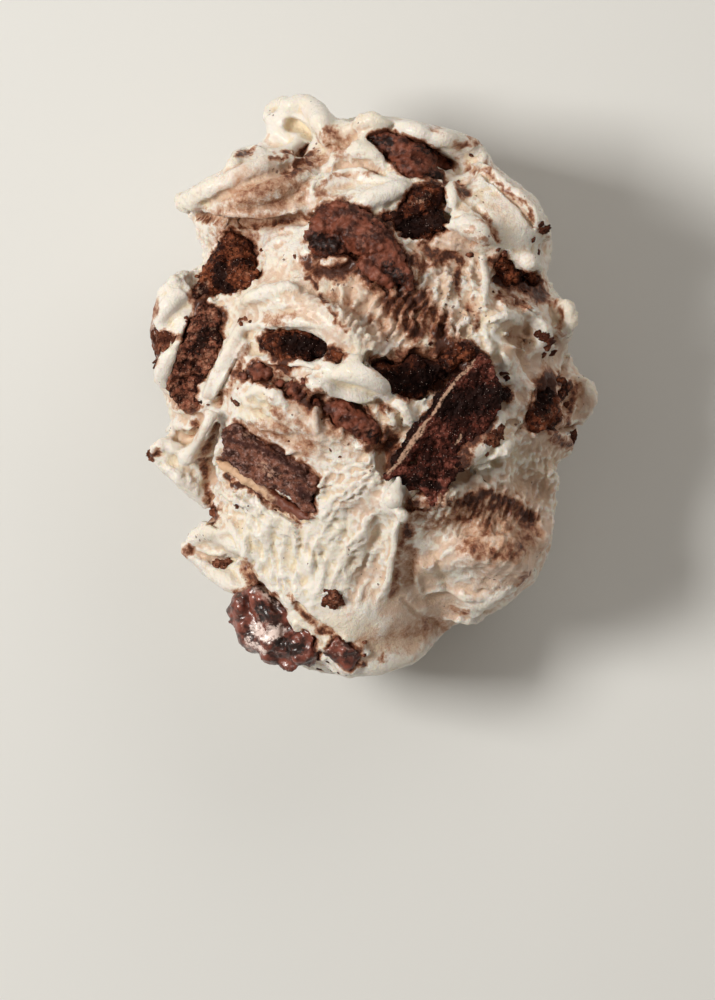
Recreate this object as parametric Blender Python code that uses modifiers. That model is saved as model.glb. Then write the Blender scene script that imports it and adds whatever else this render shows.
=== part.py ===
# A heaped scoop of vanilla ice cream with broken chocolate wafers worked into it.
#
# The heap lies on its back: +Z points up out of its best side, +Y runs towards the end that was
# furthest from the spoon's handle, and the origin is the middle of its footprint on the table.
# Every place below is in millimetres from that origin, and MM turns millimetres into metres.

import math

import bmesh
import bpy
from mathutils import Matrix, Vector, noise
from mathutils.bvhtree import BVHTree

MM = 0.001

# Driving dimensions of the heap, in millimetres.
WIDEST_LEVEL = 21.0  # height above the table at which the heap is widest
ABOVE_ALL = 80.0  # where the sight lines that find the surface start
TABLE_BLOCK = 120.0  # edge of the block that flattens the heap's underside
PATCH_REACH = 0.3  # how far from a wafer's middle the surface is felt, as a share of its length
UPRIGHT_PULL = 0.4  # how much a wafer on a slope is turned back towards +Z

# How finely the ice cream is built, in millimetres and triangles.
FUSING_GRID = 0.9
ICE_CREAM_TRIANGLES = 7600
POCKET_GAP = 0.35
FOLD_STEPS = 5  # places between two stops of a fold
END_ANGLES = (20, 40, 60, 80)  # where rings close a fold's round end, in degrees

# The torn relief of the ice cream: ridges that run with the sweep of the spoon, and finer crags.
RIDGE_DEPTH = 0.6
RIDGE_SIZE = 5.5
RIDGE_SLANT = 0.5  # how far a ridge leans towards +X for each step along +Y
RIDGE_STRETCH = 0.55  # below 1 makes ridges longer along +Y
RIDGE_LEVEL = 0.35  # above 0 stands the ridges out more than it sinks the valleys
CRAG_DEPTH = 0.5
CRAG_SIZE = 2.5

# The crumbly faces of a wafer.
WAFER_CRUMB_DEPTH = 0.55
WAFER_CRUMB_SIZE = 3.0
WAFER_CORNER_LOSS = 1.6  # how far the corners of a piece are broken away
WAFER_TAPER = 0.12  # how much narrower a piece is at the bottom, as a share of its width
WAFER_NOISE_STEP = (7.3, 3.1, 5.7)  # how far apart in the noise two pieces are

CREAM = (0.86, 0.78, 0.62, 1.0)
WAFER_BROWN = (0.085, 0.032, 0.016, 1.0)
SOAKED_BROWN = (0.1, 0.03, 0.015, 1.0)
CREAM_ROUGHNESS = 0.4
WAFER_ROUGHNESS = 0.85
SOAKED_ROUGHNESS = 0.3

# The big rounded masses: middle x, y, z, then half width, half length, half height, then the
# turn about the vertical in degrees.
MASSES = {
    "core": (0.0, 3.0, 22.0, 28.5, 36.0, 26.0, 0.0),
    "crown_left": (-17.5, 27.0, 24.0, 10.5, 9.0, 14.0, 25.0),
    "crown_middle": (3.0, 36.0, 24.0, 15.0, 5.5, 12.0, -8.0),
    "crown_right": (14.6, 23.0, 25.0, 12.2, 12.0, 17.0, -30.0),
    "left_shoulder": (-25.3, 9.0, 22.0, 9.2, 10.0, 15.0, 0.0),
    "left_hip": (-24.0, -1.5, 21.0, 7.8, 8.0, 14.0, 0.0),
    "left_foot": (-16.2, -19.5, 20.0, 8.6, 10.0, 14.0, 20.0),
    "low_middle": (-4.0, -30.0, 20.0, 15.5, 14.5, 16.0, 0.0),
    "low_right": (15.9, -22.4, 21.0, 12.4, 12.0, 17.0, 25.0),
    "right_hip": (22.5, -2.5, 23.0, 8.5, 14.0, 16.0, 0.0),
    "right_shoulder": (22.5, 10.5, 24.0, 8.3, 7.2, 14.0, 0.0),
    "back_left": (-14.0, 10.0, 12.0, 14.0, 18.0, 12.5, 10.0),
    "back_right": (13.0, -8.0, 12.5, 14.5, 18.0, 13.0, -12.0),
}

# Folds and curls scraped up by the spoon. Each is a run of places: x, y, the height of its middle
# above the bare masses, and the radius of the fold there.
FOLDS = {
    "top_knob": [
        (-15.3, 41.2, 4, 2), (-13.3, 42.6, 6, 1.8), (-11, 42.8, 7, 2.1),
        (-8.5, 41.3, 5, 2.4), (-5.5, 39, 1, 2.6),
    ],
    "shoulder_lump": [(-20.5, 34.5, 2, 1.7), (-18, 36, 3, 1.9), (-14.5, 37.5, 2, 2.1)],
    "leaf_rim": [
        (-29, 29, 5, 1.7), (-25.5, 30.5, 5, 1.7), (-21, 33, 5, 1.9),
        (-16, 35, 4, 2.1), (-10, 36, 2, 1.9),
    ],
    "leaf_middle": [(-26, 28, 3, 1.6), (-20.5, 30, 3, 2), (-15.5, 32, 3, 2.2), (-9, 34, 1.5, 1.9)],
    "leaf_under": [
        (-24.5, 27.5, 1, 1.7), (-19.5, 27.5, 1.2, 2.5),
        (-14, 28.5, 1.2, 2.7), (-8.5, 30, 1, 2.2),
    ],
    "top_edge": [
        (-3.5, 39.5, 2, 1.9), (0.5, 40, 4, 1.8), (5, 39.6, 4, 2),
        (9.5, 38.6, 4, 2.2), (13.5, 37.3, 3, 2.2), (17, 35.6, 2, 2),
    ],
    "crown_lump": [(-5, 35.5, 0, 2.2), (-2, 37, 1, 2.3), (1.5, 36, 1, 2.1), (4, 34, 0, 1.6)],
    "crown_band": [
        (-10, 31, 0.5, 1.5), (-7, 33, 1.5, 1.6), (-2, 33.5, 2, 1.5),
        (4.5, 32.5, 1.5, 1.5), (10.5, 30, 0.5, 1.3),
    ],
    "crown_tongue": [
        (-3, 28.5, 0, 2.1), (2.5, 30, 1.2, 2.4),
        (7.5, 30, 1, 2.2), (11.5, 28.5, 0, 1.4),
    ],
    "crown_foot": [(-7.5, 27, 0, 1.8), (-5.5, 28.5, 1, 2), (-2, 27, 0.5, 1.7)],
    "face_rim": [
        (17.5, 33, 0, 1.6), (21, 31, 1, 1.4), (25, 27.5, 1, 1.5),
        (27, 24, 1, 1.6), (27, 20, 0, 1.6),
    ],
    "right_face": [(18.5, 29, -2, 5), (21, 25, -2, 6), (22, 21.5, -2, 4.5)],
    "right_bulge": [(12.5, 24.5, 0.5, 2.2), (16, 24, 1.2, 2.6), (18.5, 22, 1, 2.2)],
    "right_stub": [(13, 29.5, 1, 1.4), (13.5, 27, 1.2, 1.6)],
    "right_ball": [(24.5, 19, 0.5, 1.8), (26, 18.5, 0.5, 1.6)],
    "middle_ridge": [(-20, 12.5, 0.5, 1.8), (-14, 14, 1.2, 2), (-8, 16, 0.5, 1.6)],
    "middle_swoop": [
        (-16, 10.5, -0.5, 2), (-11, 11, 0.2, 3),
        (-5.5, 8.5, 0.2, 3.2), (0, 6, 0, 2.4),
    ],
    "white_tongue": [
        (-10, 1, 0.3, 2.4), (-6, 2.5, 1.4, 2.6),
        (-1.5, 2, 2, 2.1), (2.5, -0.5, 1.8, 1.1),
    ],
    "left_top_lobe": [
        (-31.8, 10.5, 1, 2.4), (-30.4, 14, 1, 2.8),
        (-28, 16.8, 1, 2.5), (-24, 15, 0.5, 2.4),
    ],
    "left_strip": [(-21, 7, 0.5, 1.2), (-23, 3.5, 1, 1.3), (-25.5, -0.5, 1, 1.3)],
    "left_collar": [(-22.5, 11, 0, 1.7), (-26, 9.5, 1, 1.8), (-29, 7, 1, 1.5)],
    "under_chips": [
        (-21, -0.5, 0, 2), (-17, -2, 0.6, 2.4),
        (-11, -4.5, 0.3, 2.6), (-6.5, -7, 0, 2.2),
    ],
    "side_drop": [(-32, 6, 3, 1.5), (-32, 3.5, 3, 1.9), (-31.8, 1, 3, 2)],
    "long_drip": [
        (-24.5, -4.5, 2, 1.1), (-25.5, -7, 2.2, 1.1),
        (-27, -9.5, 2.4, 1.1), (-28.5, -11, 2.5, 1.6),
    ],
    "left_flap": [(-34, -10, 4, 1.4), (-31, -11, 3, 2.6), (-28, -13.5, 1, 3), (-25.5, -17, 0, 2)],
    "left_flap_top": [(-31, -7, 4, 1.3), (-28, -8.5, 2, 1.7), (-25.5, -10.5, 0, 1.5)],
    "low_flap": [
        (-28.5, -24.5, 0, 1.7), (-25.3, -26.2, 0, 2.7),
        (-21.5, -28.5, -1, 3), (-18, -31, -2, 3),
    ],
    "low_flap_lip": [(-25.5, -22.5, 1, 1.6), (-22, -23.5, 1, 2), (-19.5, -26, 0, 1.8)],
    "fan_1": [(-18.5, -19, 0, 1.6), (-19, -24, 0.6, 1.9), (-17, -30.5, 0, 1.6)],
    "fan_2": [(-15.5, -20, 0, 1.4), (-15.5, -25, 0.6, 1.5), (-14, -31, 0, 1.3)],
    "fan_3": [(-11.5, -20.5, 0, 1.3), (-12.5, -25.5, 0.6, 1.4), (-11.5, -31.5, 0, 1.3)],
    "fan_4": [(-6.5, -19, 0, 1.5), (-8.5, -24.5, 0.6, 1.5), (-8.5, -31, 0, 1.3)],
    "fan_5": [(0, -12.5, 0, 1.6), (-3.5, -16, 0.6, 1.8), (-7.5, -19, 0, 1.4)],
    "fan_6": [(1.5, -17, 0, 1.6), (-3, -23.5, 0.6, 1.7), (-5, -29.5, 0, 1.4)],
    "drip_bead": [(4, -15, 1.5, 1), (3.5, -17, 1.8, 1.7), (4, -18.5, 1.5, 1.6)],
    "drip_ridge": [(4, -20, 0.5, 1.4), (3, -25.5, 1.1, 1.3), (2, -31, 0.5, 1.3)],
    "wafer_bed": [(9.5, -16, 0.5, 1.4), (15.5, -15.5, 0.8, 1.6), (20.5, -12.5, 0.5, 2)],
    "wafer_side": [(14, -12, 0.8, 1.8), (18.5, -9, 1.2, 2.4), (23, -6.5, 0.5, 2.2)],
    "right_fold": [
        (15.5, 14, 0, 2.2), (18.5, 9, 0.8, 2.4),
        (20.5, 4.5, 0.5, 2.2), (23.5, -0.5, 0, 2.2),
    ],
    "right_ledge": [(19, 14, 0, 1.6), (24, 11, 1, 2.2), (26, 7.5, 0.5, 2.6)],
    "right_lobe": [(29.5, 12.5, 2, 1.8), (29.8, 10, 2, 2), (29.5, 7.5, 1, 1.8)],
    "knob_back": [(-13, 37.5, 1, 2.4), (-9.5, 38.5, 1, 2.4)],
    "right_nub": [(30, 4.5, 0, 1.3), (31, 4, 0, 1.3)],
    "right_ear": [(31, 1, 1, 2.1), (33.5, -1, 1, 2.1), (32.5, -4, 1, 2)],
    "right_ear_foot": [(31, -7, 1, 1.6), (30, -9.5, 1, 1.9)],
    "right_cheek": [(27, -12.5, 0, 2), (26.4, -17, 0, 2.4), (25.6, -23, 0, 2.5)],
    "low_right_arc": [
        (7.5, -20, 0, 1.6), (13.5, -18, 0.8, 1.9),
        (20.5, -17, 0.8, 2), (26, -19.5, 0, 1.8),
    ],
    "low_right_swell": [
        (10.5, -26.5, 0, 2), (15.5, -24.5, 0.6, 3),
        (20.5, -25, 0.6, 3.4), (23, -27.5, 0, 2.4),
    ],
    "low_right_rim": [(23.5, -27.5, -1, 2), (18, -31.6, -1, 2.4), (12.5, -34.8, -1, 2.3)],
    "low_middle_rim": [(9.5, -36.5, -1, 2.4), (4.5, -40.5, -1, 3), (-3.5, -42, -1, 3)],
    "pocket_lip": [(7.5, -24, 0, 1.4), (7.5, -29.5, 0.5, 1.6), (10.5, -34, 0, 1.8)],
}

# Hollows between the folds: x, y, the height of the middle above the bare masses, then half
# width, half length, half height and the turn in degrees.
HOLLOWS = {
    "dark_hollow": (9.0, 1.5, 0.5, 8.0, 3.0, 3.5, 8.0),
    "wafer_hollow": (-11.5, 6.2, 0.5, 6.6, 2.6, 3.0, 0.0),
    "smooth_pocket": (9.5, -30.5, 1.0, 2.0, 4.5, 2.5, 0.0),
    "small_cave": (22.5, 8.5, 0.5, 2.6, 1.8, 2.6, 30.0),
    "leaf_gap": (-20.5, 24.2, 1.0, 7.5, 1.4, 3.0, 8.0),
    "flap_gap": (-26.3, -13.5, 2.5, 1.0, 5.0, 3.0, -18.0),
    "low_flap_gap": (-20.5, -21.0, 2.0, 3.5, 0.9, 2.5, 20.0),
    "bed_gap": (15.5, -13.6, 1.0, 4.2, 1.2, 2.2, 15.0),
}

# Broken wafers: x, y, how far the top face stands above the ice cream, then the length, width
# and depth of the piece, its turn and its lean in degrees, and how far it is skewed.
WAFERS = {
    "wafer_crown": (6.5, 35.2, 1.2, 14.5, 5.0, 6.0, -26.0, 12.0, 1.5),
    "wafer_crumbly_right": (8.6, 26.6, 0.8, 9.0, 6.2, 6.0, 24.0, 0.0, 1.0),
    "wafer_folded": (-3.4, 21.8, 1.6, 14.5, 7.0, 6.0, -12.0, 10.0, 0.0),
    "wafer_crumbly_left": (-22.0, 18.2, 1.0, 12.5, 7.0, 7.0, 31.0, 0.0, -1.0),
    "wafer_left_slab": (-26.8, 4.4, 1.4, 14.5, 5.8, 7.0, 63.0, 8.0, 2.0),
    "wafer_in_hollow": (-11.8, 6.6, 0.8, 11.5, 4.4, 5.0, 2.0, 0.0, 0.5),
    "wafer_nuggets": (-15.5, 0.6, 1.0, 10.0, 2.8, 5.0, -14.0, 0.0, 0.0),
    "wafer_smeared": (-3.0, -5.0, 0.6, 13.5, 4.4, 6.0, -30.0, 0.0, 1.0),
    "wafer_deep": (6.2, 3.2, 0.8, 11.0, 4.4, 4.0, 8.0, 0.0, 0.0),
    "wafer_big_slab": (12.6, -5.8, 2.4, 19.5, 7.8, 10.0, 54.0, -10.0, 3.0),
    "wafer_low_slab": (-15.6, -12.0, 1.6, 15.5, 5.8, 5.0, -26.0, 14.0, -1.5),
    "wafer_low_edge": (-16.6, -16.2, 1.0, 14.5, 1.8, 5.0, -28.0, 10.0, 0.0),
    "wafer_right_pit": (27.4, -3.2, 0.6, 8.5, 4.6, 6.0, 100.0, 0.0, 0.0),
    "wafer_right_shoulder": (20.6, 17.4, 0.8, 9.0, 5.2, 6.0, -32.0, 0.0, 0.0),
    "wafer_low_corner": (-16.4, -36.6, 1.2, 14.0, 8.6, 11.0, -36.0, 0.0, 0.0),
    "wafer_low_chip": (-4.4, -40.4, 0.8, 5.0, 3.4, 5.0, -40.0, 0.0, 0.0),
}

# The wafers that melted cream has soaked.
SOAKED = ("wafer_low_corner", "wafer_low_chip")

# Wafers that show low on the sides: the bearing in degrees from +X, the height, how far the
# face stands out, then length, width, depth and turn.
SIDE_WAFERS = {
    "wafer_side_top": (78.0, 13.0, 0.6, 13.0, 6.0, 6.0, 20.0),
    "wafer_side_right": (-8.0, 11.0, 0.6, 12.0, 6.0, 6.0, -25.0),
    "wafer_side_bottom": (-72.0, 12.0, 0.6, 11.0, 6.5, 6.0, 40.0),
    "wafer_side_left": (168.0, 10.0, 0.6, 12.0, 5.5, 6.0, -15.0),
}


def clear_scene():
    for old in list(bpy.data.objects):
        bpy.data.objects.remove(old)


def new_collection(name, hidden=False):
    made = bpy.data.collections.new(name)
    bpy.context.scene.collection.children.link(made)
    made.hide_render = hidden
    return made


def material(name, colour, roughness):
    made = bpy.data.materials.new(name)
    made.use_nodes = True
    shader = made.node_tree.nodes["Principled BSDF"]
    shader.inputs["Base Color"].default_value = colour
    shader.inputs["Roughness"].default_value = roughness
    shader.inputs["Metallic"].default_value = 0.0
    return made


class Skin:
    """The outside of a mesh, for finding places on it. Lengths are in millimetres."""

    def __init__(self, mesh):
        mesh.calc_loop_triangles()
        points = [vertex.co / MM for vertex in mesh.vertices]
        self.tree = BVHTree.FromPolygons(points, [tri.vertices[:] for tri in mesh.loop_triangles])

    def seen_from(self, start, way):
        """The place and the outward direction where a sight line meets the surface."""
        place, normal = self.tree.ray_cast(start, way)[:2]
        return place, normal

    def height(self, x, y):
        """Height of the surface over a place, or the widest level beside the heap."""
        place, _ = self.seen_from(Vector((x, y, ABOVE_ALL)), Vector((0, 0, -1)))
        return max(place.z, WIDEST_LEVEL) if place else WIDEST_LEVEL

    def patch(self, starts, way):
        """The mean place and mean outward direction of what several sight lines meet."""
        met = [found for found in (self.seen_from(start, way) for start in starts) if found[0]]
        place = sum((found[0] for found in met), Vector()) / len(met)
        normal = sum((found[1] for found in met), Vector()).normalized()
        return place, normal


def add_ellipsoid(name, middle, halves, turn):
    bpy.ops.mesh.primitive_ico_sphere_add(subdivisions=4, radius=1.0)
    made = bpy.context.object
    made.name = name
    spin = Matrix.Rotation(math.radians(turn), 4, "Z")
    stretch = Matrix.Diagonal((*(half * MM for half in halves), 1.0))
    made.data.transform(Matrix.Translation(Vector(middle) * MM) @ spin @ stretch)
    return made


def smooth_run(stops, steps):
    """Places on one smooth curve through the stops, each stop being any run of numbers."""
    ends = [stops[0], *stops, stops[-1]]
    run = []
    for a, b, c, d in zip(ends, ends[1:], ends[2:], ends[3:]):
        for step in range(steps):
            t = step / steps
            run.append([blended(t, *four) for four in zip(a, b, c, d)])
    run.append(list(stops[-1]))
    return run


def blended(t, before, start, end, after):
    """A value between start and end that passes smoothly through both."""
    slope_in = (end - before) / 2
    slope_out = (after - start) / 2
    gap = end - start
    square = 3 * gap - 2 * slope_in - slope_out
    cube = slope_in + slope_out - 2 * gap
    return start + t * (slope_in + t * (square + t * cube))


def rounded_end(end, inner):
    """Places and radii that close a fold past its end with a half ball."""
    place, beside = Vector(end[:3]), Vector(inner[:3])
    way = (place - beside).normalized()
    return [
        [*(place + way * end[3] * math.sin(angle)), end[3] * math.cos(angle)]
        for angle in (math.radians(degrees) for degrees in END_ANGLES)
    ]


def add_fold(name, stops, skin):
    """One fold: a round tube along its run, thick as its radii say, with round ends."""
    run = [(x, y, skin.height(x, y) + lift, radius) for x, y, lift, radius in stops]
    run = smooth_run(run, FOLD_STEPS)
    run = rounded_end(run[0], run[1])[::-1] + run + rounded_end(run[-1], run[-2])
    line = bpy.data.curves.new(name, "CURVE")
    line.dimensions = "3D"
    line.bevel_depth = MM
    line.bevel_resolution = 3
    line.use_fill_caps = True
    spline = line.splines.new("POLY")
    spline.points.add(len(run) - 1)
    for point, (x, y, z, radius) in zip(spline.points, run):
        point.co = (x * MM, y * MM, z * MM, 1.0)
        point.radius = radius
    return meshed(line, name)


def meshed(line, name):
    """The closed mesh of a curve, as an object of its own."""
    helper = bpy.data.objects.new(name + "_line", line)
    bpy.context.scene.collection.objects.link(helper)
    bpy.context.view_layer.update()
    graph = bpy.context.evaluated_depsgraph_get()
    mesh = bpy.data.meshes.new_from_object(helper.evaluated_get(graph))
    bpy.data.objects.remove(helper)
    edit = bmesh.new()
    edit.from_mesh(mesh)
    bmesh.ops.remove_doubles(edit, verts=edit.verts, dist=0.01 * MM)
    bmesh.ops.recalc_face_normals(edit, faces=edit.faces)
    edit.to_mesh(mesh)
    edit.free()
    made = bpy.data.objects.new(name, mesh)
    bpy.context.scene.collection.objects.link(made)
    return made


def join_meshes(name, objects):
    """The objects' meshes as one object, still overlapping each other."""
    edit = bmesh.new()
    for obj in objects:
        edit.from_mesh(obj.data)
    mesh = bpy.data.meshes.new(name)
    edit.to_mesh(mesh)
    edit.free()
    for obj in objects:
        bpy.data.objects.remove(obj)
    made = bpy.data.objects.new(name, mesh)
    bpy.context.scene.collection.objects.link(made)
    return made


def fuse(obj, name):
    """Melts overlapping shapes into one skin on an even grid."""
    remesh = obj.modifiers.new(name, "REMESH")
    remesh.mode = "VOXEL"
    remesh.voxel_size = FUSING_GRID * MM
    remesh.adaptivity = 0.0


def cut_with(obj, name, cutters):
    """Takes every cutter of a collection away. The cutters may overlap each other."""
    cut = obj.modifiers.new(name, "BOOLEAN")
    cut.operation = "DIFFERENCE"
    cut.operand_type = "COLLECTION"
    cut.collection = cutters
    cut.solver = "MANIFOLD"


def apply_modifiers(obj):
    bpy.context.view_layer.update()
    graph = bpy.context.evaluated_depsgraph_get()
    mesh = bpy.data.meshes.new_from_object(obj.evaluated_get(graph))
    obj.modifiers.clear()
    obj.data = mesh


def scrape_relief(obj):
    """Ragged relief all over, as frozen cream tears when it is scraped: ridges that lean with the
    sweep of the spoon, and finer crags on them."""
    starts = [vertex.co.copy() for vertex in obj.data.vertices]
    normals = [vertex.normal.copy() for vertex in obj.data.vertices]
    moved = []
    for start, normal in zip(starts, normals):
        at = start / MM
        swept = Vector((at.x + RIDGE_SLANT * at.y, RIDGE_STRETCH * at.y, at.z)) / RIDGE_SIZE
        ridge = RIDGE_LEVEL - 2 * abs(noise.noise(swept))
        crag = noise.noise(at / CRAG_SIZE)
        moved.extend(start + normal * MM * (RIDGE_DEPTH * ridge + CRAG_DEPTH * crag))
    obj.data.vertices.foreach_set("co", moved)
    obj.data.update()


def keep_largest_body(obj):
    """Drops loose scraps, leaving the one biggest connected body."""
    edit = bmesh.new()
    edit.from_mesh(obj.data)
    unseen = set(edit.verts)
    bodies = []
    while unseen:
        todo = [unseen.pop()]
        body = list(todo)
        while todo:
            for edge in todo.pop().link_edges:
                for end in unseen.intersection(edge.verts):
                    unseen.remove(end)
                    todo.append(end)
                    body.append(end)
        bodies.append(body)
    bodies.sort(key=len)
    for body in bodies[:-1]:
        bmesh.ops.delete(edit, geom=body, context="VERTS")
    edit.to_mesh(obj.data)
    edit.free()


def place_on_top(skin, x, y, rise, length, width, turn, lean):
    """A frame whose +Z leaves the top of the heap, for a piece whose face stands out by rise."""
    angle = math.radians(turn)
    along = Vector((math.cos(angle), math.sin(angle), 0)) * length * PATCH_REACH
    across = Vector((-math.sin(angle), math.cos(angle), 0)) * width * PATCH_REACH
    middle = Vector((x, y, ABOVE_ALL))
    starts = [middle, middle + along, middle - along, middle + across, middle - across]
    place, normal = skin.patch(starts, Vector((0, 0, -1)))
    up = (normal + Vector((0, 0, UPRIGHT_PULL))).normalized()
    tilt = Vector((0, 0, 1)).rotation_difference(up).to_matrix().to_4x4()
    spin = Matrix.Rotation(angle, 4, "Z")
    roll = Matrix.Rotation(math.radians(lean), 4, "X")
    return Matrix.Translation((place + up * rise) * MM) @ tilt @ spin @ roll


def place_on_side(skin, bearing, height, rise, length, width, turn):
    """A frame whose +Z leaves the heap's side at a bearing, at a height above the table."""
    angle = math.radians(bearing)
    out = Vector((math.cos(angle), math.sin(angle), 0))
    aside = Vector((-math.sin(angle), math.cos(angle), 0)) * length * PATCH_REACH
    middle = out * ABOVE_ALL + Vector((0, 0, height))
    upwards = Vector((0, 0, 1)) * width * PATCH_REACH
    starts = [middle, middle + aside, middle - aside, middle + upwards, middle - upwards]
    place, normal = skin.patch(starts, -out)
    tilt = normal.to_track_quat("Z", "Y").to_matrix().to_4x4()
    spin = Matrix.Rotation(math.radians(turn), 4, "Z")
    return Matrix.Translation((place + normal * rise) * MM) @ tilt @ spin


def wafer_mesh(length, width, depth, skew, seed):
    """A broken piece of wafer: a skewed block, crumbly on every face, its top face at zero."""
    edit = bmesh.new()
    bmesh.ops.create_cube(edit, size=1.0)
    bmesh.ops.subdivide_edges(edit, edges=edit.edges, cuts=2, use_grid_fill=True)
    for vertex in edit.verts:
        x, y, z = vertex.co
        rounding = 1 - WAFER_CORNER_LOSS * (x * y) ** 2
        narrowing = 1 - WAFER_TAPER * (0.5 - z)
        vertex.co = (
            x * length * rounding * narrowing + skew * 2 * y,
            y * width * rounding * narrowing,
            (z - 0.5) * depth,
        )
    edit.normal_update()
    offset = Vector(WAFER_NOISE_STEP) * seed
    for vertex in edit.verts:
        crumb = noise.noise(vertex.co / WAFER_CRUMB_SIZE + offset)
        vertex.co += vertex.normal * WAFER_CRUMB_DEPTH * crumb
    bmesh.ops.scale(edit, vec=(MM, MM, MM), verts=edit.verts)
    bmesh.ops.triangulate(edit, faces=edit.faces)
    mesh = bpy.data.meshes.new("wafer")
    edit.to_mesh(mesh)
    edit.free()
    return mesh


def grown(mesh, distance):
    """A copy of a mesh with every face moved outwards."""
    edit = bmesh.new()
    edit.from_mesh(mesh)
    edit.normal_update()
    moves = [vertex.normal * distance * vertex.calc_shell_factor() for vertex in edit.verts]
    for vertex, move in zip(edit.verts, moves):
        vertex.co += move
    made = mesh.copy()
    edit.to_mesh(made)
    edit.free()
    return made


def add_wafers(skin, parts, pockets):
    """The broken wafers, and for each a pocket a little larger that lets it into the heap."""
    meshes = {}
    for name, (x, y, rise, length, width, depth, turn, lean, skew) in WAFERS.items():
        meshes[name] = wafer_mesh(length, width, depth, skew, len(meshes))
        meshes[name].transform(place_on_top(skin, x, y, rise, length, width, turn, lean))
    for name, (bearing, height, rise, length, width, depth, turn) in SIDE_WAFERS.items():
        meshes[name] = wafer_mesh(length, width, depth, 0.0, len(meshes))
        meshes[name].transform(place_on_side(skin, bearing, height, rise, length, width, turn))
    dry = material("wafer", WAFER_BROWN, WAFER_ROUGHNESS)
    soaked = material("wafer_soaked", SOAKED_BROWN, SOAKED_ROUGHNESS)
    for name, mesh in meshes.items():
        mesh.materials.append(soaked if name in SOAKED else dry)
        parts.objects.link(bpy.data.objects.new(name, mesh))
        add_cutter(name + "_pocket", grown(mesh, POCKET_GAP * MM), pockets)


def add_cutter(name, mesh, collection):
    cutter = bpy.data.objects.new(name, mesh)
    cutter.hide_render = True
    cutter.display_type = "WIRE"
    collection.objects.link(cutter)


def add_masses():
    shapes = []
    for name, (x, y, z, *halves, turn) in MASSES.items():
        shapes.append(add_ellipsoid(name, (x, y, z), halves, turn))
    return join_meshes("ice_cream", shapes)


def add_hollows(skin, collection):
    for name, (x, y, lift, *halves, turn) in HOLLOWS.items():
        ball = add_ellipsoid(name, (x, y, skin.height(x, y) + lift), halves, turn)
        mesh = ball.data
        bpy.data.objects.remove(ball)
        add_cutter(name, mesh, collection)


def add_table_level(collection):
    """The block that flattens the heap where it rests on the table."""
    bpy.ops.mesh.primitive_cube_add(size=TABLE_BLOCK * MM)
    block = bpy.context.object
    block.data.transform(Matrix.Translation((0, 0, -TABLE_BLOCK * MM / 2)))
    mesh = block.data
    bpy.data.objects.remove(block)
    add_cutter("table_level", mesh, collection)


def pile_up(hollows):
    """The heap in full detail, before the wafers are let in."""
    masses = add_masses()
    fuse(masses, "fuse masses")
    apply_modifiers(masses)
    skin = Skin(masses.data)
    folds = [add_fold(name, stops, skin) for name, stops in FOLDS.items()]
    add_hollows(skin, hollows)
    heap = join_meshes("ice_cream", [masses, *folds])
    fuse(heap, "fuse folds")
    apply_modifiers(heap)
    cut_with(heap, "open hollows", hollows)
    fuse(heap, "soften hollows")
    apply_modifiers(heap)
    scrape_relief(heap)
    return heap


def thin_out(heap):
    """Brings the heap down to few enough faces for a solid."""
    fewer = heap.modifiers.new("fewer faces", "DECIMATE")
    heap.data.calc_loop_triangles()
    fewer.ratio = ICE_CREAM_TRIANGLES / len(heap.data.loop_triangles)
    apply_modifiers(heap)


def main():
    clear_scene()
    parts = new_collection("ice_cream_scoop")
    hollows = new_collection("hollows", hidden=True)
    pockets = new_collection("pockets", hidden=True)
    heap = pile_up(hollows)
    add_wafers(Skin(heap.data), parts, pockets)
    add_table_level(pockets)
    thin_out(heap)
    cut_with(heap, "wafer pockets", pockets)
    apply_modifiers(heap)
    keep_largest_body(heap)
    heap.data.materials.clear()
    heap.data.materials.append(material("ice_cream", CREAM, CREAM_ROUGHNESS))
    bpy.context.scene.collection.objects.unlink(heap)
    parts.objects.link(heap)


main()
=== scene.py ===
# %% [markdown]
# # A scoop of vanilla ice cream with broken chocolate wafers
#
# The real thing is scraped out of a tub with a spoon: dense frozen cream, torn into folds, flaps and
# combed ridges, with chocolate wafers broken through it. Its plain solids are already modelled, and they
# are loaded here as a frame that doesn't move. This lesson gives the cream its fine folds and its stains,
# turns each plain block of wafer into a crumbly piece, scatters crumbs, and sets a floor, lights and a
# camera.

# %% Load the plain solids
import math
import random

import bpy
import numpy as np
from mathutils import Matrix, Vector, noise
from mathutils.bvhtree import BVHTree


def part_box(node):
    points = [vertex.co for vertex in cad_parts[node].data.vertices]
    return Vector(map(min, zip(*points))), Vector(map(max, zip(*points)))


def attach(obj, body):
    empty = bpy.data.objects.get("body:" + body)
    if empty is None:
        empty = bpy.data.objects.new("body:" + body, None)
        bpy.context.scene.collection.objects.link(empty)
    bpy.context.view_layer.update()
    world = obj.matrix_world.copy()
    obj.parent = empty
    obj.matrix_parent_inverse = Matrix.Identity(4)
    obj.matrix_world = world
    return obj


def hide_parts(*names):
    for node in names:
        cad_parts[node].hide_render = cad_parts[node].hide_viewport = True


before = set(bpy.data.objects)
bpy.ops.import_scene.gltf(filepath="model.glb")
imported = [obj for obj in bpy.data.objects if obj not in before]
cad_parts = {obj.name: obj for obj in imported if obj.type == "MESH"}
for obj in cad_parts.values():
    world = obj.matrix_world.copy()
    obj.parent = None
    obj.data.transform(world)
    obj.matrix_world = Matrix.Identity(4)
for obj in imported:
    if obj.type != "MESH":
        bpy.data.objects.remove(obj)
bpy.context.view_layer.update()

MM = 0.001
print("loaded", len(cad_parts), "solids")

# %% [markdown]
# ## Places
#
# The photograph looks straight down on the heap, so a place on its upper side is named by the pixel that
# shows it. One pixel is a real length at the heap's widest level, which comes from the width of a serving
# spoon's neck. The height isn't in a pixel: it is found by sending a line of sight from the camera onto
# the heap.

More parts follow.
